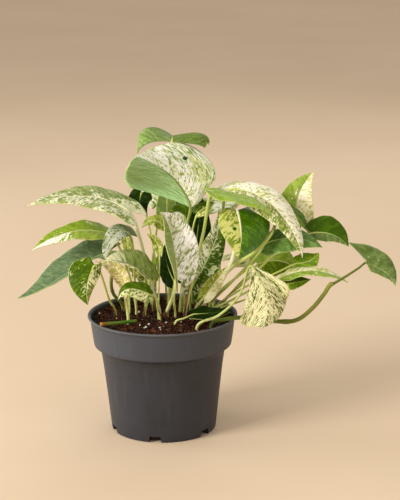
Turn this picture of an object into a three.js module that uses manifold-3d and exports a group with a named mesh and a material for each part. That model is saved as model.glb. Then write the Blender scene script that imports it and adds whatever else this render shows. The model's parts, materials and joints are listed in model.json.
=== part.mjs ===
// Potted marble variegata pothos: a nursery pot of soil, rooted vines and heart-shaped leaves.
// Millimetres, +Z up. The origin is the centre of the pot's flat foot, and -Y is the front.
import * as THREE from 'three';
import { mergeVertices } from 'three/addons/utils/BufferGeometryUtils.js';
import Module from 'manifold-3d';

const wasm = await Module();
wasm.setup();

// Driving dimensions
const POT_RIM_RADIUS = 76;
const POT_HEIGHT = 120;
const POT_WALL = 1.6;
const POT_FOOT_RADIUS = 53.5;
const BAND_TOP_RADIUS = 73.7;
const BAND_FOOT_RADIUS = 70;
const WALL_TOP_RADIUS = 63;
const POT_FLOOR = 2.6;
const LIP_HEIGHT = 1.8;
const LIP_BODY = 2.6;
const LIP_CORNER = 0.6;
const LIP_UNDER = 3.4;
const FOOT_CORNER = 1.2;
const BAND_STEP = 3.6;
const POT_SIDES = 40;
const BAND_DROP = 31;
const NOTCH_COUNT = 6;
const NOTCH_TOP = 15.5;
const NOTCH_FOOT = 18;
const NOTCH_HEIGHT = 6.5;
const NOTCH_TURN = -8.5;
const SOIL_LEVEL = 113;
const SOIL_MOUND = 3;
const SOIL_LUMP = 0.7;
const SOIL_RINGS = 4;
const SOIL_GAP = 0.5;
const ROOT_DEPTH = 14;
const ROOT_COLLAR = 7;
const HOLE_DEPTH = 15;
const HOLE_SIDES = 6;
const CLEARANCE = 0.35;
const BLADE_THICKNESS = 0.8;
const FULL_GRID = [8, 3];
const SMALL_GRID = [6, 2];
const WIDEST_AT = 0.31;
const LOBE_WIDTH = 0.42;
const LOBE_REACH = 0.15;
const ARC_STEPS = 12;
const STALK_SIDES = 5;
const STALK_RINGS = 2;
const STEM_SIDES = 7;
const STEM_RINGS = 3;

// Colours
const POT_COLOUR = '#4b4a4d';
const SOIL_COLOUR = '#3a2018';
const STEM_COLOUR = '#8fa04a';
const CREAM = '#e6e8c4';
const MARBLED = '#b4c684';
const BRIGHT_GREEN = '#6fa332';
const DEEP_GREEN = '#3f7a18';
const BLUE_GREEN = '#557a58';
const OLIVE = '#8c9a3c';

const point = (p) => new THREE.Vector3(p[0], p[1], p[2]);
const radians = THREE.MathUtils.degToRad;

// Solids: a closed mesh becomes a manifold solid, and a solid becomes a mesh again
function toSolid(geometry) {
  const bare = geometry.clone();
  bare.deleteAttribute('normal');
  bare.deleteAttribute('uv');
  const merged = mergeVertices(bare, 1e-4);
  return new wasm.Manifold(new wasm.Mesh({
    numProp: 3,
    vertProperties: new Float32Array(merged.attributes.position.array),
    triVerts: new Uint32Array(merged.index.array),
  }));
}

function toGeometry(solid) {
  const mesh = solid.getMesh();
  const geometry = new THREE.BufferGeometry();
  geometry.setAttribute('position', new THREE.BufferAttribute(mesh.vertProperties, 3));
  geometry.setIndex(new THREE.BufferAttribute(mesh.triVerts, 1));
  geometry.computeVertexNormals();
  return geometry;
}

function fromLists(vertices, triangles) {
  const geometry = new THREE.BufferGeometry();
  const flat = vertices.flatMap((p) => [p.x, p.y, p.z]);
  geometry.setAttribute('position', new THREE.Float32BufferAttribute(flat, 3));
  geometry.setIndex(triangles);
  return geometry;
}

// A midrib: the smooth polynomial through its points, which lie at their distances along it
class Midrib extends THREE.Curve {
  constructor(points) {
    super();
    this.points = points.map(point);
    this.places = [0];
    for (let i = 1; i < points.length; i += 1) {
      const step = this.points[i].distanceTo(this.points[i - 1]);
      this.places.push(this.places[i - 1] + step);
    }
    this.length = this.places[points.length - 1];
  }

  getPoint(t, target = new THREE.Vector3()) {
    const along = t * this.length;
    target.set(0, 0, 0);
    this.points.forEach((p, i) => {
      let weight = 1;
      this.places.forEach((place, j) => {
        if (j !== i) weight *= (along - place) / (this.places[i] - place);
      });
      target.addScaledVector(p, weight);
    });
    return target;
  }
}

// The places along a route at which its tube has a ring: both ends of the first span, which
// is straight, then some to a span
function ringPlaces(pointCount, perSpan) {
  const span = 1 / (pointCount - 1);
  const places = [0, span];
  for (let i = 1; i <= (pointCount - 2) * perSpan; i += 1) {
    places.push(Math.min(span * (1 + i / perSpan), 1));
  }
  return places;
}

// A tapered tube with flat ends: rings of corners, each turned as little as it can be from the last
function taperedTube(route, perSpan, radiusAt, sides) {
  const curve = new THREE.CatmullRomCurve3(route, false, 'centripetal');
  const places = ringPlaces(route.length, perSpan);
  const vertices = [];
  const triangles = [];
  const normal = new THREE.Vector3(0.8, 0.6, 0.1);
  places.forEach((t) => {
    const centre = curve.getPoint(t);
    const tangent = curve.getTangent(t);
    normal.addScaledVector(tangent, -normal.dot(tangent)).normalize();
    const binormal = new THREE.Vector3().crossVectors(tangent, normal);
    const radius = radiusAt(t);
    for (let j = 0; j < sides; j += 1) {
      const angle = (2 * Math.PI * j) / sides;
      vertices.push(centre.clone()
        .addScaledVector(normal, radius * Math.cos(angle))
        .addScaledVector(binormal, radius * Math.sin(angle)));
    }
  });
  for (let i = 0; i < places.length - 1; i += 1) {
    for (let j = 0; j < sides; j += 1) {
      const a = i * sides + j;
      const b = i * sides + ((j + 1) % sides);
      triangles.push(a, b, b + sides, a, b + sides, a + sides);
    }
  }
  const last = (places.length - 1) * sides;
  for (let j = 1; j < sides - 1; j += 1) {
    triangles.push(0, j + 1, j, last, last + j, last + j + 1);
  }
  return toSolid(fromLists(vertices, triangles));
}

// Half the blade's width along the midrib, as a share of its greatest: round lobes, drawn-out tip
function widthShare(s) {
  if (s < WIDEST_AT) {
    const rise = Math.sin((Math.PI / 2) * (s / WIDEST_AT) ** 0.7);
    return LOBE_WIDTH + (1 - LOBE_WIDTH) * rise;
  }
  const q = (s - WIDEST_AT) / (1 - WIDEST_AT);
  return (1 - q ** 1.8) ** 1.15;
}

// A smooth step from b to c, whose slopes come from their neighbours a and d
function catmullRom(t, a, b, c, d) {
  const leave = (c - a) / 2;
  const arrive = (d - b) / 2;
  const bow = 3 * (c - b) - 2 * leave - arrive;
  const snap = 2 * (b - c) + leave + arrive;
  return b + leave * t + bow * t ** 2 + snap * t ** 3;
}

// Half a blade's width, slant towards the tip, fold and curl at a place along its midrib. Most
// leaves are hearts. A leaf with an outline of its own gives the four for five even places.
function halfShape(leaf, rib, s, half) {
  if (leaf.outline) {
    const rows = leaf.outline[half];
    const place = Math.min(s, 1) * (rows.length - 1);
    const first = Math.min(Math.floor(place), rows.length - 2);
    const before = rows[Math.max(first - 1, 0)];
    const next = rows[first + 1];
    const after = rows[Math.min(first + 2, rows.length - 1)];
    return next.map((value, k) => catmullRom(place - first, before[k], rows[first][k], value, after[k]));
  }
  const width = leaf.width[half] * widthShare(s);
  const back = LOBE_REACH * rib.length * (1 - s) ** 3;
  return [width, leaf.sweep[half] * width - back, leaf.fold[half], leaf.curl[half]];
}

// A point of the blade's upper face. s runs along the midrib, v from -1 (left) to 1 (right).
// Each half is an arc that starts at its fold angle and turns by its curl on the way out. Its
// bend is 1 for an even arc, and more for one that curls towards the margin.
function bladePoint(leaf, rib, s, v) {
  const tangent = rib.getTangent(s);
  const face = point(leaf.face[0]).lerp(point(leaf.face[1]), s);
  face.addScaledVector(tangent, -face.dot(tangent)).normalize();
  const side = new THREE.Vector3().crossVectors(tangent, face);
  const half = v < 0 ? 0 : 1;
  const reach = Math.abs(v);
  const [width, slant, fold, curl] = halfShape(leaf, rib, s, half);
  let across = 0;
  let lift = 0;
  for (let i = 0; i < ARC_STEPS; i += 1) {
    const part = (reach * (i + 0.5)) / ARC_STEPS;
    const angle = radians(fold + curl * part ** leaf.bend[half]);
    across += (width * reach * Math.cos(angle)) / ARC_STEPS;
    lift += (width * reach * Math.sin(angle)) / ARC_STEPS;
  }
  lift += leaf.wave * reach ** 2 * Math.sin(2 * Math.PI * (2.3 * s + 0.4 * half + leaf.phase)) * (1 - s);
  return rib.getPoint(s)
    .addScaledVector(side, Math.sign(v) * across)
    .addScaledVector(face, lift)
    .addScaledVector(tangent, slant * reach ** 1.3);
}

// The blade's outward direction at a point of its upper face
function bladeNormal(leaf, rib, s, v) {
  const step = 0.02;
  const low = Math.max(s - step, 0);
  const high = Math.min(s + step, 0.98);
  const along = bladePoint(leaf, rib, high, v).sub(bladePoint(leaf, rib, low, v));
  const left = Math.max(v - 0.1, -1);
  const right = Math.min(v + 0.1, 1);
  const place = Math.min(s, 0.97);
  const across = bladePoint(leaf, rib, place, right).sub(bladePoint(leaf, rib, place, left));
  return new THREE.Vector3().crossVectors(across, along).normalize();
}

// The blade: two like faces a leaf's thickness apart, joined round the margin, one point at the tip
function bladeSolid(leaf, rib) {
  const [rows, halfColumns] = leaf.grid;
  const columns = 2 * halfColumns + 1;
  const upper = [];
  const lower = [];
  for (let i = 0; i < rows; i += 1) {
    const s = i / rows;
    for (let j = 0; j < columns; j += 1) {
      const v = j / halfColumns - 1;
      const top = bladePoint(leaf, rib, s, v);
      upper.push(top);
      lower.push(top.clone().addScaledVector(bladeNormal(leaf, rib, s, v), -BLADE_THICKNESS));
    }
  }
  const tip = rib.getPoint(1);
  upper.push(tip);
  lower.push(tip.clone().addScaledVector(bladeNormal(leaf, rib, 1, 0), -BLADE_THICKNESS));
  const count = upper.length;
  const triangles = [];
  const bothFaces = (a, b, c) => triangles.push(a, b, c, a + count, c + count, b + count);
  const rim = (a, b) => triangles.push(b, a, a + count, b, a + count, b + count);
  for (let i = 0; i < rows - 1; i += 1) {
    for (let j = 0; j < columns - 1; j += 1) {
      const a = i * columns + j;
      const c = a + columns;
      if (j < halfColumns) {
        bothFaces(a, a + 1, c);
        bothFaces(a + 1, c + 1, c);
      } else {
        bothFaces(a, a + 1, c + 1);
        bothFaces(a, c + 1, c);
      }
    }
    rim((i + 1) * columns, i * columns);
    rim(i * columns + columns - 1, (i + 1) * columns + columns - 1);
  }
  const lastRow = (rows - 1) * columns;
  for (let j = 0; j < columns - 1; j += 1) {
    bothFaces(lastRow + j, lastRow + j + 1, count - 1);
    rim(j, j + 1);
  }
  rim(count - 1, lastRow);
  rim(lastRow + columns - 1, count - 1);
  return toSolid(fromLists([...upper, ...lower], triangles));
}

// A leaf: its blade, and its stalk that runs up to the joint and on a little way under the midrib
function leafSolid(leaf) {
  const rib = new Midrib(leaf.rib);
  const under = (s, depth) => rib.getPoint(s)
    .addScaledVector(bladeNormal(leaf, rib, Math.max(s, 0.03), 0), -depth);
  const route = [...leaf.stalk.map(point), under(0, leaf.thick * 0.6), under(0.16, 0.7)];
  const radiusAt = (t) => THREE.MathUtils.lerp(leaf.thick, leaf.thick * 0.6, t) - 0.4 * t ** 8;
  return bladeSolid(leaf, rib).add(taperedTube(route, leaf.rings, radiusAt, STALK_SIDES));
}

// Roots: a stem or stalk that stands in the soil starts upright in its hole
const holes = [];
function rooted(x, y, thick) {
  holes.push({ x, y, radius: (thick + CLEARANCE) / Math.cos(Math.PI / HOLE_SIDES) });
  return [[x, y, SOIL_LEVEL - ROOT_DEPTH], [x, y, SOIL_LEVEL + ROOT_COLLAR]];
}

// Leaves, chosen leaf by leaf. rib: base, one or two points between, tip. face: which way the
// upper face looks, at the base and at the tip. width, fold, curl, sweep and bend: left half, right
// half. outline: width, slant, fold and curl at five places from joint to tip, left half, right half.
const LEAVES = [
  {
    name: 'leaf_top_saddle', colour: BRIGHT_GREEN, bend: [2, 4],
    outline: [
      [[42, 0, 4, -75], [46, 0, 22, -125], [50, 0, 34, -160], [40, 0, 30, -150], [0, 0, 20, -60]],
      [[34, 0, -8, -25], [39, 0, 3, -90], [46, 0, 9, -130], [36, 0, 8, -110], [0, 0, 0, -40]],
    ],
    rib: [[11, 44, 289], [11, 70, 290], [11, 96, 282]], face: [[0, -0.25, 1], [0, 0.3, 1]],
    stalk: [[6, 40, 200], [7, 44, 262]], root: [7, 40], thick: 1.9,
  },
  {
    name: 'leaf_top_heart', colour: CREAM,
    outline: [
      [[54, 31, -25, -12], [50, 35, -25, -12], [37, 37, -25, -10], [23, 25, -22, -8], [0, 0, -20, 0]],
      [[22, 13, -5, -20], [46, -8, -5, -22], [53, -12, -5, -22], [35, -12, -5, -15], [0, 0, 0, 0]],
    ],
    rib: [[29, 0, 229], [20, 3, 250], [2, -4, 270], [-24, -18, 286]],
    face: [[0.1, -0.85, 0.5], [-0.2, -0.5, 0.85]],
    stalk: [[24, 10, 180], [26, 6, 212]], root: [18, 16], thick: 2.0,
  },
  {
    name: 'leaf_left_long', colour: MARBLED, width: [24, 22], fold: [6, 8], curl: [-18, -10],
    rib: [[-31, -8, 228], [-61, -4, 241], [-100, -8, 243], [-131, -18, 237]],
    face: [[0.1, -0.3, 0.95], [0, -0.15, 1]],
    stalk: [[-12, 2, 150], [-22, -5, 200]], root: [-4, 10], thick: 2.6,
  },
  {
    name: 'leaf_left_bright', colour: BRIGHT_GREEN, width: [17, 17], fold: [6, 10], curl: [-20, -10],
    rib: [[-56, 10, 202], [-82, 4, 206], [-107, -3, 201], [-129, -12, 190]],
    face: [[0, -0.3, 1], [0, -0.2, 1]],
    stalk: [[-36, 22, 160], [-46, 16, 190]], root: [-28, 30], thick: 1.7,
  },
  {
    name: 'leaf_left_dark', colour: BLUE_GREEN, width: [22, 25], fold: [18, 38], curl: [-5, -15],
    rib: [[-54, 14, 180], [-70, 9, 176], [-104, -3, 158], [-146, -16, 141]],
    face: [[-0.2, -0.1, 1], [-0.2, -0.1, 1]],
    stalk: [[-40, 26, 140], [-46, 20, 166]], root: [-38, 22], thick: 1.8,
  },
  {
    name: 'leaf_left_pale_hanging', colour: BLUE_GREEN, width: [10, 11], fold: [10, 10], curl: [-20, -20],
    rib: [[-30, -22, 207], [-39, -25, 212], [-48, -28, 206], [-54, -34, 185]],
    face: [[0, -0.5, 1], [-0.8, -0.8, 0.1]], grid: SMALL_GRID,
    stalk: [[-28, 0, 160], [-28, -14, 192]], root: [-27, 10], thick: 1.4,
  },
  {
    name: 'leaf_left_low_hanging', colour: MARBLED, width: [10, 22], fold: [-20, 0], curl: [-20, -15],
    rib: [[-65, -38, 181], [-71, -46, 169], [-72, -50, 143]],
    face: [[0, -0.8, 0.7], [0, -1, 0.1]],
    stalk: [[-54, -12, 140], [-58, -22, 160], [-62, -32, 176]], root: [-48, 4], thick: 1.4,
  },
  {
    name: 'leaf_left_tan', colour: OLIVE, width: [9, 9], fold: [5, 5], curl: [-10, -10],
    rib: [[-38, -26, 150], [-41, -29, 168], [-51, -30, 178], [-66, -30, 183]],
    face: [[-0.8, -0.7, 0.2], [-0.1, -0.5, 0.9]], grid: SMALL_GRID,
    stalk: [[-36, -19, 138]], root: [-34, -19], thick: 1.8,
  },
  {
    name: 'leaf_centre_left', colour: CREAM, width: [20, 21], fold: [30, 33], curl: [-10, -25],
    rib: [[-12, -30, 164], [-22, -34, 175], [-36, -39, 184], [-56, -44, 187]],
    face: [[0, -0.4, 0.9], [0, -0.34, 0.94]],
    stalk: [[-14, -10, 138]], root: [-18, 0], thick: 1.5,
  },
  {
    name: 'leaf_small_front', colour: CREAM, width: [10, 10], fold: [-10, 10], curl: [-20, -20],
    rib: [[-11, -50, 154], [-21, -53, 159], [-31, -55, 161], [-42, -58, 150]],
    face: [[0, -0.6, 0.8], [-0.3, -0.7, 0.6]], grid: SMALL_GRID,
    stalk: [[-4, -30, 134], [-6, -42, 148]], root: [-2, -16], thick: 1.2,
  },
  {
    name: 'leaf_centre_tall', colour: CREAM, width: [24, 25], fold: [66, 6], curl: [-10, -10],
    rib: [[16, -34, 164], [14, -31, 189], [8, -29, 218], [0, -42, 234]], sweep: [0, 0.2],
    face: [[0.5, -0.85, 0.1], [-0.2, -0.9, 0.4]],
    stalk: [[6, -12, 128], [12, -28, 148]], root: [4, -2], thick: 2.4,
  },
  {
    name: 'leaf_centre_dark', colour: DEEP_GREEN, width: [12, 12], fold: [8, 8], curl: [-15, -15],
    rib: [[12, -16, 158], [5, -10, 176], [4, -4, 194]],
    face: [[-0.4, -0.9, 0.1], [-0.4, -0.9, 0.1]], grid: SMALL_GRID,
    stalk: [[12, -10, 134]], root: [13, -6], thick: 1.4,
  },
  {
    name: 'leaf_back_dark', colour: DEEP_GREEN, width: [15, 15], fold: [8, 8], curl: [-12, -12],
    rib: [[34, 24, 178], [37, 28, 204], [42, 34, 232]],
    face: [[0, -1, 0.2], [0, -1, 0.2]],
    stalk: [[32, 28, 145]], root: [34, 30], thick: 1.5,
  },
  {
    name: 'leaf_top_small', colour: OLIVE, width: [7, 7], fold: [10, 10], curl: [-10, -10],
    rib: [[36, 20, 219], [45, 20, 226], [54, 20, 230]],
    face: [[-0.3, -0.8, 0.5], [-0.2, -0.8, 0.6]], grid: SMALL_GRID,
    stalk: [[28, 19, 180], [32, 19, 206]], root: [28, 21], thick: 1.2,
  },
  {
    name: 'leaf_olive_left', colour: OLIVE, width: [7, 7], fold: [10, 10], curl: [-20, -20],
    rib: [[3, -8, 212], [-8, -10, 219], [-20, -12, 212]],
    face: [[0, -0.7, 0.7], [-0.3, -0.7, 0.6]], grid: SMALL_GRID,
    stalk: [[3, 8, 170], [5, -2, 200]], root: [5, 12], thick: 1.2,
  },
  {
    name: 'leaf_tail_narrow', colour: OLIVE, width: [5, 5], fold: [10, 10], curl: [-10, -10],
    rib: [[-2, -18, 187], [-6, -19, 201], [-15, -20, 208]],
    face: [[-0.5, -0.8, 0.2], [-0.2, -0.8, 0.5]], grid: SMALL_GRID,
    stalk: [[-3, -14, 150]], root: [-4, -10], thick: 1.1,
  },
  {
    name: 'leaf_top_right_long', colour: BRIGHT_GREEN, width: [16, 17], fold: [8, 4], curl: [-22, -22],
    rib: [[52, -5, 247], [74, -5, 242], [94, -9, 236], [110, -15, 226]],
    face: [[0, -0.05, 1], [0, -0.05, 1]],
    stalk: [[34, -7, 170], [42, -8, 205]], root: [23, -5], thick: 2.2,
  },
  {
    name: 'leaf_right_cream', colour: CREAM, width: [27, 20], fold: [30, -5], curl: [-60, -30],
    rib: [[66, 28, 241], [92, 18, 240], [122, 0, 219], [140, -28, 184]],
    face: [[0, -0.15, 1], [0.7, -0.5, 0.4]],
    stalk: [[58, 26, 160], [62, 30, 205]], root: [52, 24], thick: 2.0,
  },
  {
    name: 'leaf_right_glossy', colour: DEEP_GREEN, width: [32, 22], fold: [-5, 5], curl: [-25, -30],
    rib: [[76, 2, 226], [79, -14, 214], [79, -27, 198], [76, -36, 185]],
    face: [[0, -0.6, 0.8], [0, -0.8, 0.6]],
    stalk: [[54, -8, 146], [72, -8, 182], [75, -2, 212]], root: [32, -2], thick: 2.6,
  },
  {
    name: 'leaf_centre_marbled', colour: MARBLED, width: [14, 15], fold: [20, 20], curl: [-10, -15],
    rib: [[30, 2, 145], [41, 3, 166], [52, 7, 188], [58, 17, 225]],
    face: [[0.1, -1, 0.2], [0, -1, 0.2]],
    stalk: [[25, 7, 130]], root: [22, 8], thick: 1.6,
  },
  {
    name: 'leaf_centre_olive', colour: OLIVE, width: [8, 9], fold: [10, 10], curl: [-10, -10],
    rib: [[42, -10, 139], [54, -15, 157], [66, -20, 174]],
    face: [[0, -1, 0.3], [0, -1, 0.3]], grid: SMALL_GRID,
    stalk: [[35, -8, 130]], root: [32, -10], thick: 1.4,
  },
  {
    name: 'leaf_right_hanging', colour: CREAM,
    outline: [
      [[17, 41, -10, -20], [19, 28, -10, -20], [21, 11, -10, -20], [14, 5, -10, -20], [0, 0, -10, 0]],
      [[8, 11, -14, -25], [20, 8, -14, -25], [32, 20, -14, -25], [18, 18, -14, -25], [0, 0, -10, 0]],
    ],
    rib: [[88, -32, 178], [98, -44, 167], [104, -51, 147], [98, -55, 119]],
    face: [[0.2, -0.7, 0.7], [0, -1, 0]],
    stalk: [[56, -45, 130], [77, -42, 150]], root: [36, -43], thick: 1.6,
  },
  {
    name: 'leaf_right_blue', colour: BLUE_GREEN, width: [20, 21], fold: [6, 2], curl: [-15, -20],
    rib: [[106, 2, 192], [130, -2, 198], [161, -10, 190]],
    face: [[0, -0.4, 0.9], [0.1, -0.4, 0.9]],
    stalk: [[70, 6, 150], [94, 4, 176]], root: [44, 8], thick: 1.7,
  },
  {
    name: 'leaf_right_low_dark', colour: DEEP_GREEN, width: [18, 18], fold: [5, 5], curl: [-15, -15],
    rib: [[98, 28, 163], [114, 27, 167], [140, 24, 157]],
    face: [[0, -0.95, 0.3], [0, -0.95, 0.3]],
    stalk: [[74, 24, 138], [88, 28, 152]], root: [60, 20], thick: 1.5,
  },
  {
    name: 'leaf_right_bright', colour: BRIGHT_GREEN, width: [14, 14], fold: [6, 6], curl: [-15, -15],
    rib: [[122, -14, 161], [146, -20, 169], [186, -26, 158]],
    face: [[0, -0.15, 1], [0, -0.1, 1]],
    stalk: [[70, -10, 136], [100, -12, 152]], root: [43, -10], thick: 1.5,
  },
  {
    name: 'leaf_right_mid_green', colour: BRIGHT_GREEN, width: [10, 12], fold: [6, 6], curl: [-15, -15],
    rib: [[136, 4, 170], [149, 0, 174], [158, -4, 183]],
    face: [[0.1, -0.9, 0.4], [0.1, -0.9, 0.4]], grid: SMALL_GRID,
    stalk: [[80, 8, 142], [112, 6, 158]], root: [50, 4], thick: 1.3,
  },
  {
    name: 'leaf_right_under', colour: DEEP_GREEN, width: [7, 7], fold: [6, 6], curl: [-15, -15],
    rib: [[124, -2, 150], [138, -4, 153], [150, -6, 156]],
    face: [[0, -0.8, 0.6], [0, -0.8, 0.6]], grid: SMALL_GRID,
    stalk: [[84, -2, 134], [106, -2, 142]], root: [52, -4], thick: 1.2,
  },
  {
    name: 'leaf_far_right', colour: DEEP_GREEN,
    outline: [
      [[8, -29, 12, -20], [20, -17, 12, -20], [19, -10, 12, -20], [12, -6, 10, -15], [0, 0, 5, 0]],
      [[1, 0, 5, -10], [7, 0, 8, -20], [6, 0, 8, -20], [4, 0, 5, -10], [0, 0, 5, 0]],
    ],
    rib: [[204, -24, 178], [213, -29, 174], [223, -35, 169], [231, -42, 158]],
    face: [[0.2, -0.75, 0.6], [0.5, -0.7, 0.5]],
    stalk: [[171, -30, 158], [182, -31, 165], [195, -29, 173]], thick: 1.4,
  },
  {
    name: 'leaf_right_round', colour: DEEP_GREEN, width: [20, 10], fold: [10, 4], curl: [-15, -15],
    rib: [[152, 18, 198], [171, 14, 198], [189, 8, 186]],
    face: [[0, -0.7, 0.7], [0.1, -0.7, 0.7]],
    stalk: [[88, 14, 152], [128, 20, 186]], root: [56, 11], thick: 1.6,
  },
  {
    name: 'leaf_right_upright', colour: CREAM, width: [19, 18], fold: [12, 12], curl: [-15, -15],
    rib: [[143, 44, 200], [138, 48, 220], [144, 52, 238], [156, 54, 254]],
    face: [[0, -1, 0.2], [0, -1, 0.3]],
    stalk: [[84, 42, 152], [122, 46, 184]], root: [48, 36], thick: 1.6,
  },
  {
    name: 'leaf_right_edge_on', colour: DEEP_GREEN, width: [12, 12], fold: [10, 10], curl: [-10, -10],
    rib: [[123, 36, 223], [139, 33, 211], [154, 30, 189]],
    face: [[0.75, -0.35, 0.55], [0.8, -0.3, 0.4]],
    stalk: [[50, 1, 142], [71, -1, 168], [93, -8, 185], [108, -8, 201], [116, 12, 212]], root: [46, -2],
    thick: 2.4,
  },
  {
    name: 'leaf_soil_dark', colour: DEEP_GREEN, width: [11, 11], fold: [5, 5], curl: [-10, -10],
    rib: [[32, -28, 127], [50, -24, 127], [70, -20, 127]],
    face: [[0, -0.4, 0.9], [0, -0.4, 0.9]], grid: SMALL_GRID,
    stalk: [[22, -30, 123]], root: [14, -30], thick: 1.2,
  },
  {
    name: 'leaf_behind_heart', colour: DEEP_GREEN, width: [13, 13], fold: [8, 8], curl: [-15, -15],
    rib: [[-20, 26, 240], [-22, 20, 231], [-14, 12, 220]],
    face: [[-0.2, -0.8, 0.6], [-0.2, -0.8, 0.4]], grid: SMALL_GRID,
    stalk: [[-8, 30, 170], [-18, 34, 225]], root: [-8, 26], thick: 1.3,
  },
  {
    name: 'leaf_left_olive', colour: OLIVE, width: [6, 6], fold: [8, 8], curl: [-15, -15],
    rib: [[-34, 6, 186], [-36, 4, 199], [-40, 2, 209]],
    face: [[-0.2, -0.9, 0.2], [-0.2, -0.9, 0.2]], grid: SMALL_GRID,
    stalk: [[-34, 12, 150]], root: [-34, 14], thick: 1.1,
  },
  {
    name: 'leaf_centre_low', colour: BRIGHT_GREEN, width: [6, 6], fold: [8, 8], curl: [-15, -15],
    rib: [[-8, 20, 152], [-5, 20, 166], [-2, 22, 178]],
    face: [[0, -1, 0.2], [0, -1, 0.2]], grid: SMALL_GRID,
    stalk: [[-10, 20, 134]], root: [-11, 20], thick: 1.1,
  },
  {
    name: 'leaf_low_yellow', colour: OLIVE, width: [7, 7], fold: [8, 8], curl: [-20, -20],
    rib: [[-18, 12, 155], [-24, 11, 162], [-31, 8, 154]],
    face: [[0, -0.9, 0.5], [-0.3, -0.9, 0.4]], grid: SMALL_GRID,
    stalk: [[-18, 12, 134]], root: [-18, 13], thick: 1.1,
  },
  {
    name: 'leaf_behind_tall', colour: MARBLED, width: [9, 9], fold: [8, 8], curl: [-15, -15],
    rib: [[24, 30, 212], [17, 30, 218], [6, 30, 214]],
    face: [[0, -0.9, 0.4], [0, -0.9, 0.4]], grid: SMALL_GRID,
    stalk: [[22, 32, 160], [25, 32, 195]], root: [20, 32], thick: 1.3,
  },
  {
    name: 'leaf_rear_left_low', colour: MARBLED, width: [20, 20], fold: [8, 8], curl: [-20, -20],
    rib: [[-50, 46, 168], [-72, 60, 168], [-96, 76, 146]],
    face: [[-0.3, 0.2, 1], [-0.6, 0.4, 0.7]], grid: SMALL_GRID,
    stalk: [[-40, 42, 145]], root: [-36, 40], thick: 1.6,
  },
  {
    name: 'leaf_rear_left_high', colour: CREAM, width: [24, 24], fold: [10, 10], curl: [-25, -25],
    rib: [[0, 78, 218], [-2, 102, 226], [-10, 134, 204]],
    face: [[0, -0.1, 1], [0, 0.5, 0.8]], grid: SMALL_GRID,
    stalk: [[-10, 56, 170], [-4, 70, 205]], root: [-12, 46], thick: 1.8,
  },
  {
    name: 'leaf_rear_centre', colour: BRIGHT_GREEN, width: [26, 26], fold: [10, 10], curl: [-25, -25],
    rib: [[20, 72, 190], [24, 104, 192], [22, 138, 168]],
    face: [[0, -0.1, 1], [0, 0.5, 0.8]], grid: SMALL_GRID,
    stalk: [[12, 58, 155]], root: [8, 54], thick: 1.8,
  },
  {
    name: 'leaf_rear_right_high', colour: MARBLED, width: [24, 24], fold: [10, 10], curl: [-25, -25],
    rib: [[44, 66, 214], [62, 92, 218], [76, 124, 198]],
    face: [[0, -0.1, 1], [0.2, 0.5, 0.8]], grid: SMALL_GRID,
    stalk: [[34, 56, 175]], root: [30, 52], thick: 1.8,
  },
  {
    name: 'leaf_rear_right_low', colour: CREAM, width: [24, 24], fold: [10, 10], curl: [-25, -25],
    rib: [[76, 60, 160], [102, 76, 162], [130, 92, 142]],
    face: [[0.1, 0, 1], [0.5, 0.4, 0.8]], grid: SMALL_GRID,
    stalk: [[62, 52, 142]], root: [45, 43], thick: 1.8,
  },
  {
    name: 'leaf_rear_hanging', colour: CREAM, width: [22, 22], fold: [-5, -5], curl: [-25, -25],
    rib: [[-16, 80, 152], [-18, 96, 148], [-20, 106, 110]],
    face: [[0, 0.3, 1], [0, 1, 0.1]], grid: SMALL_GRID,
    stalk: [[-16, 66, 138]], root: [-16, 60], thick: 1.6,
  },
  {
    name: 'leaf_rear_upright', colour: DEEP_GREEN, width: [22, 22], fold: [12, 12], curl: [-20, -20],
    rib: [[17, 50, 198], [13, 54, 226], [8, 54, 254]],
    face: [[0, 1, 0.1], [0, 0.9, 0.4]], grid: SMALL_GRID,
    stalk: [[22, 46, 160]], root: [22, 44], thick: 1.6,
  },
];

// Vines and cut stems: each a tube through its points, rooted in the soil or lying on it
const STEMS = [
  {
    name: 'vine_right', colour: STEM_COLOUR, root: [50, -38], thick: 2.1,
    points: [[62, -38, 124], [82, -35, 125], [112, -32, 120], [134, -32, 121], [150, -31, 133],
      [162, -30, 148], [167, -30, 156]],
  },
  {
    name: 'stem_left_stub', colour: STEM_COLOUR, root: [-42, 30], thick: 1.8,
    points: [[-50, 20, 134], [-52, 8, 148], [-50, -2, 166]],
  },
  {
    name: 'cut_stem_front', colour: BRIGHT_GREEN, thick: 1.9,
    points: [[-26, -22, 118.4], [-44, -34, 120], [-60, -46, 122.6]],
  },
];

// The pot's inside, from below the lip down to the floor, as [radius, height]
const BAND_FOOT = POT_HEIGHT - BAND_DROP;
const INSIDE = [
  [BAND_TOP_RADIUS - POT_WALL, POT_HEIGHT - LIP_UNDER],
  [BAND_FOOT_RADIUS - POT_WALL, BAND_FOOT + POT_WALL],
  [WALL_TOP_RADIUS - POT_WALL, BAND_FOOT - 2 * POT_WALL],
  [POT_FOOT_RADIUS - FOOT_CORNER, POT_FLOOR],
];

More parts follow.
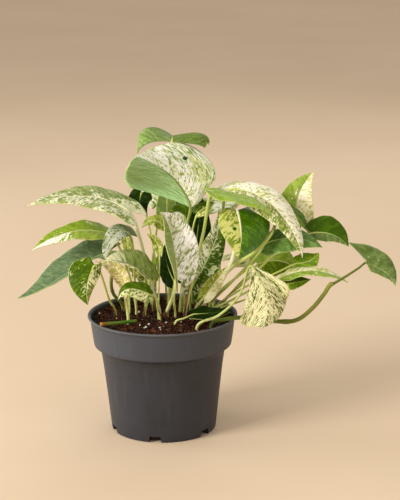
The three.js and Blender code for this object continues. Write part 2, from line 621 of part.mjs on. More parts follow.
// The pot: one closed profile turned round the axis, with drainage notches cut in its foot
function potGeometry() {
  const profile = [
    [0, 0],
    [POT_FOOT_RADIUS - FOOT_CORNER, 0],
    [POT_FOOT_RADIUS, FOOT_CORNER],
    [WALL_TOP_RADIUS, BAND_FOOT - 2 * BAND_STEP],
    [BAND_FOOT_RADIUS - BAND_STEP, BAND_FOOT - FOOT_CORNER],
    [BAND_FOOT_RADIUS, BAND_FOOT + FOOT_CORNER],
    [BAND_TOP_RADIUS, POT_HEIGHT - LIP_UNDER],
    [POT_RIM_RADIUS, POT_HEIGHT - LIP_HEIGHT],
    [POT_RIM_RADIUS, POT_HEIGHT - LIP_CORNER],
    [POT_RIM_RADIUS - LIP_CORNER, POT_HEIGHT],
    [POT_RIM_RADIUS - LIP_BODY, POT_HEIGHT],
    ...INSIDE,
    [0, POT_FLOOR],
  ];
  const outline = profile.map(([r, z]) => new THREE.Vector2(r, z));
  const turned = new THREE.LatheGeometry(outline, POT_SIDES);
  turned.rotateX(Math.PI / 2);
  let solid = toSolid(turned);
  for (let i = 0; i < NOTCH_COUNT; i += 1) {
    const [top, foot] = [NOTCH_TOP / 2, NOTCH_FOOT / 2];
    const cutter = new THREE.CylinderGeometry(top, foot, 2 * NOTCH_HEIGHT, 4);
    cutter.rotateY(Math.PI / 4);
    cutter.rotateX(Math.PI / 2);
    cutter.translate(0, -POT_FOOT_RADIUS, 0);
    cutter.rotateZ(radians(NOTCH_TURN + (360 / NOTCH_COUNT) * i));
    solid = solid.subtract(toSolid(cutter));
  }
  return toGeometry(solid);
}

// The soil: it fills the pot, its top a lumpy mound, with a plain hole for each root
function soilHeight(x, y) {
  const mound = SOIL_MOUND * (1 - (x * x + y * y) / POT_RIM_RADIUS ** 2);
  return SOIL_LEVEL + mound + SOIL_LUMP * (Math.sin(x * 0.31 + y * 0.13) + Math.cos(y * 0.37 - x * 0.11));
}

function soilGeometry() {
  const [[lipRadius, lipHeight], [bandRadius, bandHeight]] = INSIDE;
  const slope = (lipRadius - bandRadius) / (lipHeight - bandHeight);
  const rim = lipRadius - slope * (lipHeight - SOIL_LEVEL) - SOIL_GAP;
  const side = INSIDE.slice(1).map(([radius, z]) => [radius - SOIL_GAP, z + SOIL_GAP]);
  const vertices = [new THREE.Vector3(0, 0, soilHeight(0, 0))];
  const ring = (radius, heightAt) => {
    for (let j = 0; j < POT_SIDES; j += 1) {
      const angle = (2 * Math.PI * j) / POT_SIDES;
      const x = radius * Math.cos(angle);
      const y = radius * Math.sin(angle);
      vertices.push(new THREE.Vector3(x, y, heightAt(x, y)));
    }
  };
  for (let i = 1; i <= SOIL_RINGS; i += 1) ring((rim * i) / SOIL_RINGS, soilHeight);
  side.forEach(([radius, z]) => ring(radius, () => z));
  vertices.push(new THREE.Vector3(0, 0, POT_FLOOR + SOIL_GAP));
  const triangles = [];
  const rings = SOIL_RINGS + side.length;
  const last = vertices.length - 1;
  for (let j = 0; j < POT_SIDES; j += 1) {
    const next = (j + 1) % POT_SIDES;
    triangles.push(0, 1 + j, 1 + next);
    for (let i = 0; i < rings - 1; i += 1) {
      const a = 1 + i * POT_SIDES;
      triangles.push(a + j, a + POT_SIDES + j, a + POT_SIDES + next);
      triangles.push(a + j, a + POT_SIDES + next, a + next);
    }
    const b = 1 + (rings - 1) * POT_SIDES;
    triangles.push(b + j, last, b + next);
  }
  let solid = toSolid(fromLists(vertices, triangles));
  holes.forEach(({ x, y, radius }) => {
    const drill = new THREE.CylinderGeometry(radius, radius, 2 * HOLE_DEPTH, HOLE_SIDES);
    drill.rotateX(Math.PI / 2);
    drill.translate(x, y, SOIL_LEVEL);
    solid = solid.subtract(toSolid(drill));
  });
  return toGeometry(solid);
}

// The assembly
const plant = new THREE.Group();
plant.name = 'potted_pothos';

function addPart(name, geometry, colour, roughness) {
  const material = new THREE.MeshStandardMaterial({ color: colour, roughness, metalness: 0 });
  const mesh = new THREE.Mesh(geometry, material);
  mesh.name = name;
  plant.add(mesh);
}

LEAVES.forEach((choice, index) => {
  const start = choice.root ? rooted(choice.root[0], choice.root[1], choice.thick) : [];
  const leaf = {
    grid: FULL_GRID,
    rings: choice.grid === SMALL_GRID ? 1 : STALK_RINGS,
    sweep: [0, 0],
    bend: [1, 1],
    wave: 1.6,
    phase: 0.37 * index,
    ...choice,
    stalk: [...start, ...choice.stalk],
  };
  addPart(leaf.name, toGeometry(leafSolid(leaf)), leaf.colour, 0.45);
});

STEMS.forEach((stem) => {
  const start = stem.root ? rooted(stem.root[0], stem.root[1], stem.thick) : [];
  const route = [...start, ...stem.points].map(point);
  const tube = taperedTube(route, STEM_RINGS, () => stem.thick, STEM_SIDES);
  addPart(stem.name, toGeometry(tube), stem.colour, 0.5);
});

addPart('pot', potGeometry(), POT_COLOUR, 0.6);
addPart('soil', soilGeometry(), SOIL_COLOUR, 0.95);

export default plant;
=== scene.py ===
# %% [markdown]
# # A potted marble pothos
# A young house plant in a round nursery pot. Its heart-shaped leaves are green marbled with cream, and no two
# are marbled alike. The pot, the soil, the leaves and the vines are separate pieces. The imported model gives
# the place and the size of each one, and this script makes the fine surface that the eye sees.

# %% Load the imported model
import json
import math
import random
from functools import cache
from statistics import NormalDist

import bpy
import numpy as np
from mathutils import Matrix, Vector, noise

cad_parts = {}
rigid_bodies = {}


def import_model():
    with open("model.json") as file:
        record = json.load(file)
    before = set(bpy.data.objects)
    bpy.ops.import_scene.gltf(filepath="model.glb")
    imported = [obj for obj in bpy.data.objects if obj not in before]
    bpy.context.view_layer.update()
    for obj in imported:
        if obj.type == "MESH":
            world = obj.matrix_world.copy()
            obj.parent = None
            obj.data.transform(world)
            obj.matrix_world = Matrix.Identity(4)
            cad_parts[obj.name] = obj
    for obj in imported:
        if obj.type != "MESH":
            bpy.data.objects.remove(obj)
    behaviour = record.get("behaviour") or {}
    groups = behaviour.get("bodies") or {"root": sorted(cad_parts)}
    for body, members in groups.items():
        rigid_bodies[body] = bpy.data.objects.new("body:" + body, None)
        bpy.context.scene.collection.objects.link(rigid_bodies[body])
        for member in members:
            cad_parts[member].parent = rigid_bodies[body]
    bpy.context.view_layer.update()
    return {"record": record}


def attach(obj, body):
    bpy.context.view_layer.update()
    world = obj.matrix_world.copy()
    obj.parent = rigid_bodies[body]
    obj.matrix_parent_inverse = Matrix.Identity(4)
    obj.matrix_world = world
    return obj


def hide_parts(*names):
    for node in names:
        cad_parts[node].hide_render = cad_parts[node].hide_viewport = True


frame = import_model()

# %% [markdown]
# ## Units, colours and nodes
# Blender works in metres, and a plant is easier to describe in millimetres, so every size below is in mm and
# is turned into metres where it meets a mesh. Colours are chosen as the sRGB codes that a colour picker
# shows, and shaders work in linear light, so one function turns the one into the other. One function adds a
# shader node with its settings and links: a node that is handed to another one as its input is linked to it.

# %% Small helpers
MM = 0.001


def linear(code):
    """An sRGB hex code as linear red, green, blue and alpha."""
    channels = [int(code[i:i + 2], 16) / 255 for i in (1, 3, 5)]
    return tuple(c / 12.92 if c <= 0.04045 else ((c + 0.055) / 1.055) ** 2.4 for c in channels) + (1.0,)


def fill(tree, made, inputs):
    """Sets or links a node's inputs, by name or in order. A node among them gives its first output."""
    used = [socket for socket in made.inputs if socket.enabled]
    for key, value in inputs.items() if isinstance(inputs, dict) else enumerate(inputs):
        socket = made.inputs[key] if isinstance(key, str) else used[key]
        if isinstance(value, bpy.types.Node):
            value = next(output for output in value.outputs if output.enabled)
        if isinstance(value, bpy.types.NodeSocket):
            tree.links.new(value, socket)
        else:
            socket.default_value = value


def node(tree, kind, inputs=(), **settings):
    """Adds a shader node with its settings and its inputs."""
    made = tree.nodes.new("ShaderNode" + kind)
    for key, value in settings.items():
        setattr(made, key, value)
    fill(tree, made, inputs)
    return made


def new_material(name):
    """An empty material with its output, its shader and the shader's node tree."""
    material = bpy.data.materials.new(name)
    material.use_nodes = True
    tree = material.node_tree
    tree.nodes.clear()
    shader = node(tree, "BsdfPrincipled")
    node(tree, "OutputMaterial", {"Surface": shader})
    return material, tree, shader


def deselect_everything():
    for thing in bpy.context.view_layer.objects:
        thing.select_set(False)


def choose(thing):
    """Makes one object the only one selected, and the active one."""
    deselect_everything()
    thing.select_set(True)
    bpy.context.view_layer.objects.active = thing


def join(pieces):
    """Joins pieces into the first of them."""
    choose(pieces[0])
    for piece in pieces:
        piece.select_set(True)
    bpy.ops.object.join()
    return pieces[0]


def settle(thing, name, material, slot, *stands_for):
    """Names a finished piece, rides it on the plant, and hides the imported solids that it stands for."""
    thing.name = name
    thing.data.name = name
    if material:
        thing.data.materials.clear()
        thing.data.materials.append(material)
    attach(thing, "root")
    if stands_for:
        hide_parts(*stands_for)
    return thing


print("helpers ready; mid green is", [round(v, 3) for v in linear("#5e8f3a")])

# %% [markdown]
# ## The camera
# A long lens from 1.6 m away, a little above the plant and looking 14 degrees down, keeps the pot's sides
# almost parallel. The focal length comes from the pixel size of the picture, and the tiny roll is the
# camera's own.

# %% Camera
PICTURE_HEIGHT = 500
FOCAL_PIXELS = 1641.0
LOOK_DOWN = 0.2481
ROLL = 0.0073

bpy.ops.object.camera_add(location=(0.0385, -1.6, 0.591))
camera = bpy.context.object
camera.name = "camera"
camera.data.sensor_fit = "VERTICAL"
camera.data.sensor_height = 36.0
camera.data.lens = FOCAL_PIXELS * camera.data.sensor_height / PICTURE_HEIGHT
turn = Matrix.Rotation(math.pi / 2 - LOOK_DOWN, 3, "X") @ Matrix.Rotation(-ROLL, 3, "Z")
camera.rotation_euler = turn.to_euler()
camera.data.clip_end = 30.0
bpy.context.scene.camera = camera
print("lens", round(camera.data.lens, 2), "mm")

# %% [markdown]
# ## Floor and light
# A plain pale floor and a big soft light from the upper left, like a window. A low one at the left side
# brightens that edge of the pot, a weaker one from the right keeps the shadows open, and one from behind
# parts the leaves from each other. A warm pale surround lights the rest.

# %% Floor
bpy.ops.mesh.primitive_plane_add(size=8.0, location=(0, 1.5, -0.0002))
floor = bpy.context.object
floor.name = "floor"
material, tree, shader = new_material("limewashed_floor")
place = node(tree, "TexCoord").outputs["Object"]
cloud = node(tree, "TexNoise", {"Vector": place, "Scale": 2.2, "Detail": 5.0})
shade = node(tree, "ValToRGB", [cloud])
shade.color_ramp.elements[0].color = linear("#d6bc9c")
shade.color_ramp.elements[1].color = linear("#e4cdae")
fill(tree, shader, {"Base Color": shade, "Roughness": 0.8})
floor.data.materials.append(material)
print("floor:", [round(v, 1) for v in floor.dimensions], "m")

# %% Lights


def soft_light(name, place, target, size, power, colour):
    """A square area light that points at a place."""
    bpy.ops.object.light_add(type="AREA", location=place)
    light = bpy.context.object
    light.name = name
    light.data.size = size
    light.data.energy = power
    light.data.color = linear(colour)[:3]
    light.rotation_euler = (Vector(target) - Vector(place)).to_track_quat("-Z", "Y").to_euler()


soft_light("window", (-1.95, -1.3, 1.1), (0, 0, 0.15), 1.0, 66.0, "#fffcf8")
soft_light("side", (-1.7, 0.5, 0.35), (0, 0, 0.1), 1.0, 18.0, "#f4f6ff")
soft_light("fill", (1.5, -1.7, 0.7), (0, 0, 0.15), 1.4, 9.0, "#fff8f0")
soft_light("back", (0.6, 1.4, 1.3), (0, 0, 0.2), 1.0, 6.0, "#fffcf8")
world = bpy.data.worlds.new("surround")
world.use_nodes = True
background = world.node_tree.nodes["Background"]
fill(world.node_tree, background, {"Color": linear("#fbf4ec"), "Strength": 0.6})
bpy.context.scene.world = world
bpy.context.scene.view_settings.view_transform = "Standard"

# %% [markdown]
# ## One grid for every shape
# A leaf blade is a sheet and a stalk is a rolled sheet, so both start as Blender's flat grid. Each corner of
# the grid has a place along and a place across, and a function says where in space that corner belongs. The
# grid brings its own UV map, so a pattern can follow the blade or the stalk wherever it bends.

# %% Shape a grid
WELD_DISTANCE = 0.00001


def shaped_grid(rows, columns, place):
    """A grid whose corners are moved to place(along, across), both from 0 to 1. Places are in mm."""
    deselect_everything()
    bpy.ops.mesh.primitive_grid_add(x_subdivisions=rows, y_subdivisions=columns, size=2)
    sheet = bpy.context.object
    for corner in sheet.data.vertices:
        along, across = (corner.co.x + 1) / 2, (corner.co.y + 1) / 2
        corner.co = Vector(place(along, across)) * MM
    sheet.data.update()
    return sheet


def grid_places(mesh):
    """The grid's own UV map: how far along and how far across each face corner lies."""
    places = np.zeros(len(mesh.loops) * 2, np.float32)
    mesh.uv_layers[0].uv.foreach_get("vector", places)
    return places.reshape(-1, 2)


def write_colours(mesh, name, colours):
    """Writes four numbers on each face corner, as a colour that a material can read."""
    layer = mesh.attributes.new(name, "FLOAT_COLOR", "CORNER")
    layer.data.foreach_set("color", np.asarray(colours, np.float32).ravel())


def weld_corners(thing):
    """Joins the corners that meet at a tip or along a seam."""
    choose(thing)
    bpy.ops.object.mode_set(mode="EDIT")
    bpy.ops.mesh.select_all(action="SELECT")
    bpy.ops.mesh.remove_doubles(threshold=WELD_DISTANCE)
    bpy.ops.object.mode_set(mode="OBJECT")


def select_open_edges():
    """In edit mode, selects the edges that only one face holds."""
    bpy.ops.mesh.select_all(action="DESELECT")
    bpy.ops.mesh.select_mode(type="EDGE")
    bpy.ops.mesh.select_non_manifold()


def face_outwards():
    """Ends edit mode with every face pointing outwards."""
    bpy.ops.mesh.select_all(action="SELECT")
    bpy.ops.mesh.normals_make_consistent(inside=False)
    bpy.ops.object.mode_set(mode="OBJECT")


# %% [markdown]
# ## A smooth line through a few points
# The midrib of each leaf is given by three or four points, and a polynomial through them bends evenly from
# the joint to the tip. A stalk has more points, and there a polynomial would swing about, so it follows a
# centripetal Catmull-Rom curve, which stays close to its points.

# %% Midrib and stalk curves
NUDGE = 0.001


class Curve:
    """A line through points. Each kind of curve says where it is at t, which runs from 0 to 1."""

    def __init__(self, points):
        self.points = [Vector(p) for p in points]

    def direction(self, t):
        return (self.at(min(t + NUDGE, 1)) - self.at(max(t - NUDGE, 0))).normalized()


class Midrib(Curve):
    """The polynomial through its points, which lie at their distances along it."""

    def __init__(self, points):
        super().__init__(points)
        self.places = [0.0]
        for a, b in zip(self.points, self.points[1:]):
            self.places.append(self.places[-1] + (b - a).length)
        self.length = self.places[-1]

    def at(self, t):
        along = t * self.length
        total = Vector((0, 0, 0))
        for i, p in enumerate(self.points):
            weight = 1.0
            for j, place in enumerate(self.places):
                if j != i:
                    weight *= (along - place) / (self.places[i] - place)
            total += p * weight
        return total


class Route(Curve):
    """A centripetal Catmull-Rom curve through its points."""

    def at(self, t):
        count = len(self.points)
        place = min(max(t, 0), 1) * (count - 1)
        i = min(int(place), count - 2)
        u = place - i
        p1, p2 = self.points[i], self.points[i + 1]
        p0 = self.points[i - 1] if i > 0 else p1 * 2 - p2
        p3 = self.points[i + 2] if i + 2 < count else p2 * 2 - p1
        d0, d1, d2 = ((b - a).length ** 0.5 for a, b in ((p0, p1), (p1, p2), (p2, p3)))
        out1 = ((p1 - p0) / d0 - (p2 - p0) / (d0 + d1) + (p2 - p1) / d1) * d1
        out2 = ((p2 - p1) / d1 - (p3 - p1) / (d1 + d2) + (p3 - p2) / d2) * d1
        return p1 + out1 * u + (-3 * p1 + 3 * p2 - 2 * out1 - out2) * u ** 2 + (
            2 * p1 - 2 * p2 + out1 + out2) * u ** 3


print("a bent rib of three points is", round(Midrib([(0, 0, 0), (30, 0, 9), (60, 0, 0)]).length, 1), "mm")

# %% [markdown]
# ## The blade of a leaf
# A pothos blade is a heart: two round lobes at the joint, widest a third of the way up, and a drawn-out tip.
# Each half leaves the midrib at its own fold and bends by its own curl, and the margin waves and ripples a
# little. Four leaves are turned, rolled or cupped so that a plain heart doesn't fit them, and those have an
# outline of their own. The blade is a thin sheet, so the grid gets its thickness from the Solidify modifier
# at the end.

# %% Blade form
WIDEST_AT = 0.31
LOBE_WIDTH = 0.42
LOBE_ROUND = 0.7
LOBE_REACH = 0.15
TAPER = 1.8
TIP_DRAWN = 1.15
SLANT_BOW = 1.3
WAVE, WAVES = 1.6, 2.3
RIPPLE, RIPPLES = 0.45, 6.7
FURROW_DEPTH, FURROW_WIDTH = 0.5, 1.1
ARC_STEPS = 12
BLADE_THICKNESS = 0.7


def both(value):
    """A list holds a value for each half of a leaf, or each end. Any other value stands for both."""
    return value if isinstance(value, list) else [value, value]


def width_share(s):
    """Half the blade's width along the midrib, as a share of its greatest."""
    if s < WIDEST_AT:
        return LOBE_WIDTH + (1 - LOBE_WIDTH) * math.sin(math.pi / 2 * (s / WIDEST_AT) ** LOBE_ROUND)
    q = (s - WIDEST_AT) / (1 - WIDEST_AT)
    return max(1 - q ** TAPER, 0) ** TIP_DRAWN


def catmull_rom(t, a, b, c, d):
    """A smooth step from b to c, whose slopes come from their neighbours a and d."""
    leave, arrive = (c - a) / 2, (d - b) / 2
    bow = 3 * (c - b) - 2 * leave - arrive
    snap = 2 * (b - c) + leave + arrive
    return b + leave * t + bow * t ** 2 + snap * t ** 3


class Blade:
    """The upper face of one leaf's blade."""

    def __init__(self, leaf, phase):
        self.leaf = leaf
        self.phase = phase
        self.rib = Midrib(leaf["rib"])
        self.ends = [Vector(way) for way in both(leaf["face"])]
        self.bend = both(leaf.get("bend", 1))
        self.slant_bow = both(leaf.get("slant_bow", SLANT_BOW))

    @cache
    def row(self, s):
        """Where the midrib is at s, with the directions along it, out of the face and to the right."""
        tangent = self.rib.direction(s)
        face = self.ends[0].lerp(self.ends[1], s)
        face = (face - tangent * face.dot(tangent)).normalized()
        return self.rib.at(s), tangent, face, tangent.cross(face)

    @cache
    def shape(self, s, half):
        """Width, slant towards the tip, fold and curl of one half at a place along the midrib."""
        leaf = self.leaf
        if "outline" in leaf:
            rows = leaf["outline"][half]
            last = len(rows) - 1
            place = min(s, 1) * last
            first = min(int(place), last - 1)
            four = (rows[max(first - 1, 0)], rows[first], rows[first + 1], rows[min(first + 2, last)])
            return [catmull_rom(place - first, *column) for column in zip(*four)]
        width = both(leaf["width"])[half] * width_share(s)
        back = LOBE_REACH * self.rib.length * (1 - s) ** 3
        slant = both(leaf.get("sweep", 0))[half] * width - back
        return [width, slant, both(leaf["fold"])[half], both(leaf["curl"])[half]]

    def at(self, s, v):
        """A point in mm: s from joint to tip, v from -1 at the left margin to 1 at the right."""
        centre, tangent, face, side = self.row(s)
        half = 0 if v < 0 else 1
        reach = abs(v)
        width, slant, fold, curl = self.shape(s, half)
        across, lift = 0.0, 0.0
        for i in range(ARC_STEPS):
            angle = math.radians(fold + curl * (reach * (i + 0.5) / ARC_STEPS) ** self.bend[half])
            across += width * reach / ARC_STEPS * math.cos(angle)
            lift += width * reach / ARC_STEPS * math.sin(angle)
        wave = math.sin(2 * math.pi * (WAVES * s + 0.4 * half + self.phase))
        ripple = math.sin(2 * math.pi * (RIPPLES * s + 0.3 * half + 1.7 * self.phase))
        furrow = FURROW_DEPTH * math.exp(-(reach * width / FURROW_WIDTH) ** 2)
        lift += (WAVE * reach ** 2 * wave + RIPPLE * reach ** 3 * ripple - furrow) * (1 - s)
        return centre + side * math.copysign(across, v) + face * lift + tangent * (
            slant * reach ** self.slant_bow[half])

    def normal(self, s):
        """The way out of the upper face at the midrib, from a short step along it and one across it."""
        along = self.at(min(s + 0.02, 0.98), 0.0) - self.at(max(s - 0.02, 0), 0.0)
        across = self.at(min(s, 0.97), 0.1) - self.at(min(s, 0.97), -0.1)
        return across.cross(along).normalized()


print("a blade is", round(width_share(0.0), 2), "of its full width at the joint")

# %% [markdown]
# ## How a leaf is coloured
# Marbling follows the side veins: patches, streaks and specks are stretched from the midrib outwards. Each
# half of a leaf has its own mix, which is described by three tones (green, pale and cream) and by how much of
# each there is at the joint and at the tip. The mixes are named, and each leaf picks one for its left half
# and one for its right half. A leaf with a finer marbling than the rest says how much finer, its marks say
# where there is more cream (or less), and a leaf may have one dark spot.

# %% Marbling mixes
MIXES = {
    # name: green, pale, cream, cream at joint, cream at tip, pale share, flecks, stripes, gloss
    # saddle and saddle_light are one mix, darker and lighter, for the two halves of the top leaf: painted
    # shade on its right half and painted light on its left
    "saddle": ("#5f7826", "#839744", "#a5b278", 0.01, 0.01, 0.38, 0.0, 0.70, 0.1),
    "brindled": ("#6c8030", "#9ba862", "#d8d5a8", 0.04, 0.22, 0.50, 0.0, 0.85, 0.2),
    "saddle_light": ("#69823c", "#8fa461", "#b2c088", 0.01, 0.01, 0.38, 0.0, 0.70, 0.1),
    "lime_fresh": ("#86a030", "#aabf58", "#f4f2da", 0.01, 0.02, 0.42, 0.0, 0.30, 0.3),
    "pine": ("#55700a", "#7a921a", "#b7bf72", 0.02, 0.02, 0.34, 0.0, 0.30, 0.3),
    "jade": ("#587a2c", "#7f9a54", "#a9ba78", 0.01, 0.01, 0.40, 0.0, 0.40, 0.2),
    # frost is the pale hanging leaf's own grey-green, darkened further with painted shade
    "frost": ("#5c6842", "#848c6c", "#a5aa92", 0.25, 0.90, 0.50, 0.06, 0.10, 0.1),
    "stalky": ("#c2c27c", "#d8d498", "#efe9bd", 0.45, 0.45, 0.60, 0.0, 0.0, 0.2),
    "banded": ("#88a769", "#abcb90", "#c6dca8", 0.02, 0.02, 0.40, 0.0, 0.80, 0.1),
    "white": ("#86a244", "#e6e9a6", "#fffeec", 0.58, 0.52, 0.74, 0.08, 0.0, 0.3),
    "long_low": ("#829447", "#b8be80", "#ebe9c6", 0.58, 0.24, 0.58, 0.10, 0.10, 0.3),
    "long_high": ("#7b8c42", "#abb474", "#e4e3bc", 0.50, 0.16, 0.45, 0.12, 0.10, 0.4),
    "lime": ("#758f12", "#94ab34", "#f0eed0", 0.01, 0.02, 0.42, 0.0, 0.30, 0.3),
    "lime_cream": ("#839a28", "#a3b44c", "#f6f3da", 0.02, 0.76, 0.45, 0.0, 0.20, 0.3),
    "slate": ("#607450", "#7e9268", "#9fb086", 0.0, 0.0, 0.30, 0.0, 0.40, 0.1),
    "ash": ("#6f7752", "#8f9270", "#b4b397", 0.40, 0.50, 0.60, 0.06, 0.15, 0.1),
    "moss": ("#3c5602", "#637b16", "#bcc580", 0.03, 0.03, 0.34, 0.0, 0.30, 0.3),
    "moss_cream": ("#4e620c", "#979d4c", "#dad7a0", 0.38, 0.38, 0.58, 0.18, 0.0, 0.3),
    "tan": ("#b3ac58", "#cdc07c", "#e8dab0", 0.36, 0.50, 0.60, 0.08, 0.2, 0.2),
    "sprout": ("#446004", "#949f40", "#dcdba2", 0.50, 0.55, 0.60, 0.14, 0.0, 0.2),
    "snow": ("#8d9e5c", "#eceece", "#fffffa", 0.63, 0.55, 0.74, 0.15, 0.0, 0.3),
    "sage": ("#81944a", "#9db06a", "#cdd09c", 0.02, 0.02, 0.40, 0.0, 0.50, 0.2),
    # shaded is painted shade: dark greens for the leaves that lie deep in the plant's shadow
    "shaded": ("#142600", "#223a02", "#405424", 0.0, 0.0, 0.20, 0.0, 0.20, 0.1),
    "spring": ("#88a61e", "#a0bd36", "#ccd684", 0.05, 0.05, 0.50, 0.0, 0.35, 0.4),
    "ivory": ("#a9b25e", "#d9d79c", "#fbf5da", 0.70, 0.62, 0.70, 0.04, 0.0, 0.5),
    "ivory_green": ("#7b8f36", "#b4bb68", "#f0eabf", 0.64, 0.34, 0.60, 0.10, 0.0, 0.4),
    "glossy": ("#3b6002", "#5a8405", "#7e9650", 0.0, 0.0, 0.34, 0.0, 0.20, 1.0),
    "chartreuse": ("#667a12", "#969c2c", "#bfbf6c", 0.48, 0.54, 0.60, 0.06, 0.0, 0.3),
    "pepper": ("#6a7c38", "#bcc482", "#eeefd0", 0.54, 0.52, 0.64, 0.20, 0.0, 0.2),
    "ink": ("#446008", "#64791f", "#cdd3a0", 0.20, 0.05, 0.24, 0.06, 0.0, 0.3),
    "flecked": ("#4a5f10", "#b6b267", "#dfd9a8", 0.74, 0.74, 0.60, 0.18, 0.0, 0.2),
    "fir": ("#4c6e20", "#6c8848", "#8ca268", 0.0, 0.0, 0.34, 0.0, 0.35, 0.2),
    "leafy": ("#5f8109", "#8aa81c", "#c9d570", 0.02, 0.02, 0.36, 0.0, 0.35, 0.4),
    "bottle": ("#365202", "#4a6802", "#8a9f5e", 0.0, 0.0, 0.34, 0.0, 0.30, 0.4),
    "sea": ("#5a6e32", "#76894a", "#a6b57c", 0.02, 0.02, 0.42, 0.0, 0.50, 0.2),
    "butter": ("#aab650", "#d6d092", "#f0e6be", 0.52, 0.40, 0.60, 0.05, 0.0, 0.3),
    "cream": ("#bfc16c", "#e0d79c", "#fbf3d2", 0.52, 0.60, 0.70, 0.06, 0.0, 0.4),
    "olive": ("#858f30", "#a9b053", "#dcdc9a", 0.12, 0.16, 0.45, 0.12, 0.20, 0.2),
}
print(len(MIXES), "marbling mixes")

# %% [markdown]
# The mix is written on the blade's own corners, so one material can serve every leaf. A second UV map holds
# the vein coordinates: how far up the midrib the vein through this place starts, and how far out along it.
# They are in mm, divided by 100 so that they stay small.

# %% Write the mix on a blade
UV_MM = 100.0
HALVES_APART = 200.0
VEIN_LEAN, VEIN_BEND = 0.62, 0.006
CREAM_SPREAD, PALE_SPREAD, FLECK_SPREAD = 0.055, 0.06, 0.10
BELL = NormalDist()


def noise_level(share, spread):
    """The noise value that this share of the leaf lies above, for noise of that spread about a half."""
    return 0.5 - spread * BELL.inv_cdf(min(max(share, 0.002), 0.998))


def vein_start(along, out):
    """Where on the midrib the side vein through a place starts: veins lean towards the tip and bend to it."""
    return along - VEIN_LEAN * out - VEIN_BEND * out ** 2


def paint_blade(sheet, blade, seed):
    """Gives each face corner its three tones, the noise levels where they start, and its vein coordinates."""
    mesh = sheet.data
    mesh.uv_layers[0].name = "blade"
    places = grid_places(mesh)
    along, across = places[:, 0], 1 - 2 * places[:, 1]
    count = len(along)
    middle = np.zeros(count)
    for face in mesh.polygons:
        corners = slice(face.loop_start, face.loop_start + face.loop_total)
        middle[corners] = across[corners].mean()
    half = (middle > 0).astype(int)
    stations, where = np.unique(along, return_inverse=True)
    widths = np.array([[blade.shape(float(s), side)[0] for side in (0, 1)] for s in stations])[where]
    half_width = np.maximum(widths[np.arange(count), half], 0)
    out = np.abs(across) * half_width

    veins = mesh.uv_layers.new(name="veins")
    start = vein_start(along * blade.rib.length, out)
    flat = np.stack([start, out + HALVES_APART * half], 1) / UV_MM * blade.leaf.get("fine", 1.0)
    veins.uv.foreach_set("vector", flat.astype(np.float32).ravel())

    picked = [MIXES[name] for name in both(blade.leaf["mix"])]
    for index, tone in enumerate(("green_tone", "pale_tone", "cream_tone")):
        write_colours(mesh, tone, np.array([linear(mix[index]) for mix in picked])[half])
    levels = [(noise_level(at_joint, CREAM_SPREAD), noise_level(at_tip, CREAM_SPREAD),
               noise_level(pale, PALE_SPREAD), noise_level(flecks, FLECK_SPREAD), stripes, gloss)
              for *_, at_joint, at_tip, pale, flecks, stripes, gloss in picked]
    at_joint, at_tip, pale, flecks, stripes, gloss = np.array(levels)[half].T

    def far_from(s, v, length, breadth):
        """How far each corner lies from a mark, squared, with the mark's own length and breadth as 1."""
        return ((along - s) * blade.rib.length / length) ** 2 + ((across - v) * half_width / breadth) ** 2

    cream = at_joint + (at_tip - at_joint) * along
    for *mark, more in blade.leaf.get("marks", ()):
        cream -= more * np.exp(-far_from(*mark))
    dark = np.exp(-far_from(*blade.leaf["spot"]) ** 2) if "spot" in blade.leaf else np.zeros(count)
    write_colours(mesh, "shares", np.stack([cream, pale, flecks, gloss], 1))
    write_colours(mesh, "habit", np.stack([np.full(count, seed), out / UV_MM, stripes, dark], 1))


# %% [markdown]
# ## The leaf material
# Living leaf tissue: waxy and smooth on top, paler and matte beneath. The noise textures are stretched in
# vein coordinates. A grain of noise shows at about half the size that it is given, so broad patches are
# about 8 by 20 mm, streaks 2 by 6 mm and specks 1 by 2 mm. The midrib and the margin are a lighter line. The
# veins lie in shallow furrows and the skin puckers between them, which the bump gives.

# %% Leaf material
VEINS_APART = 7.0


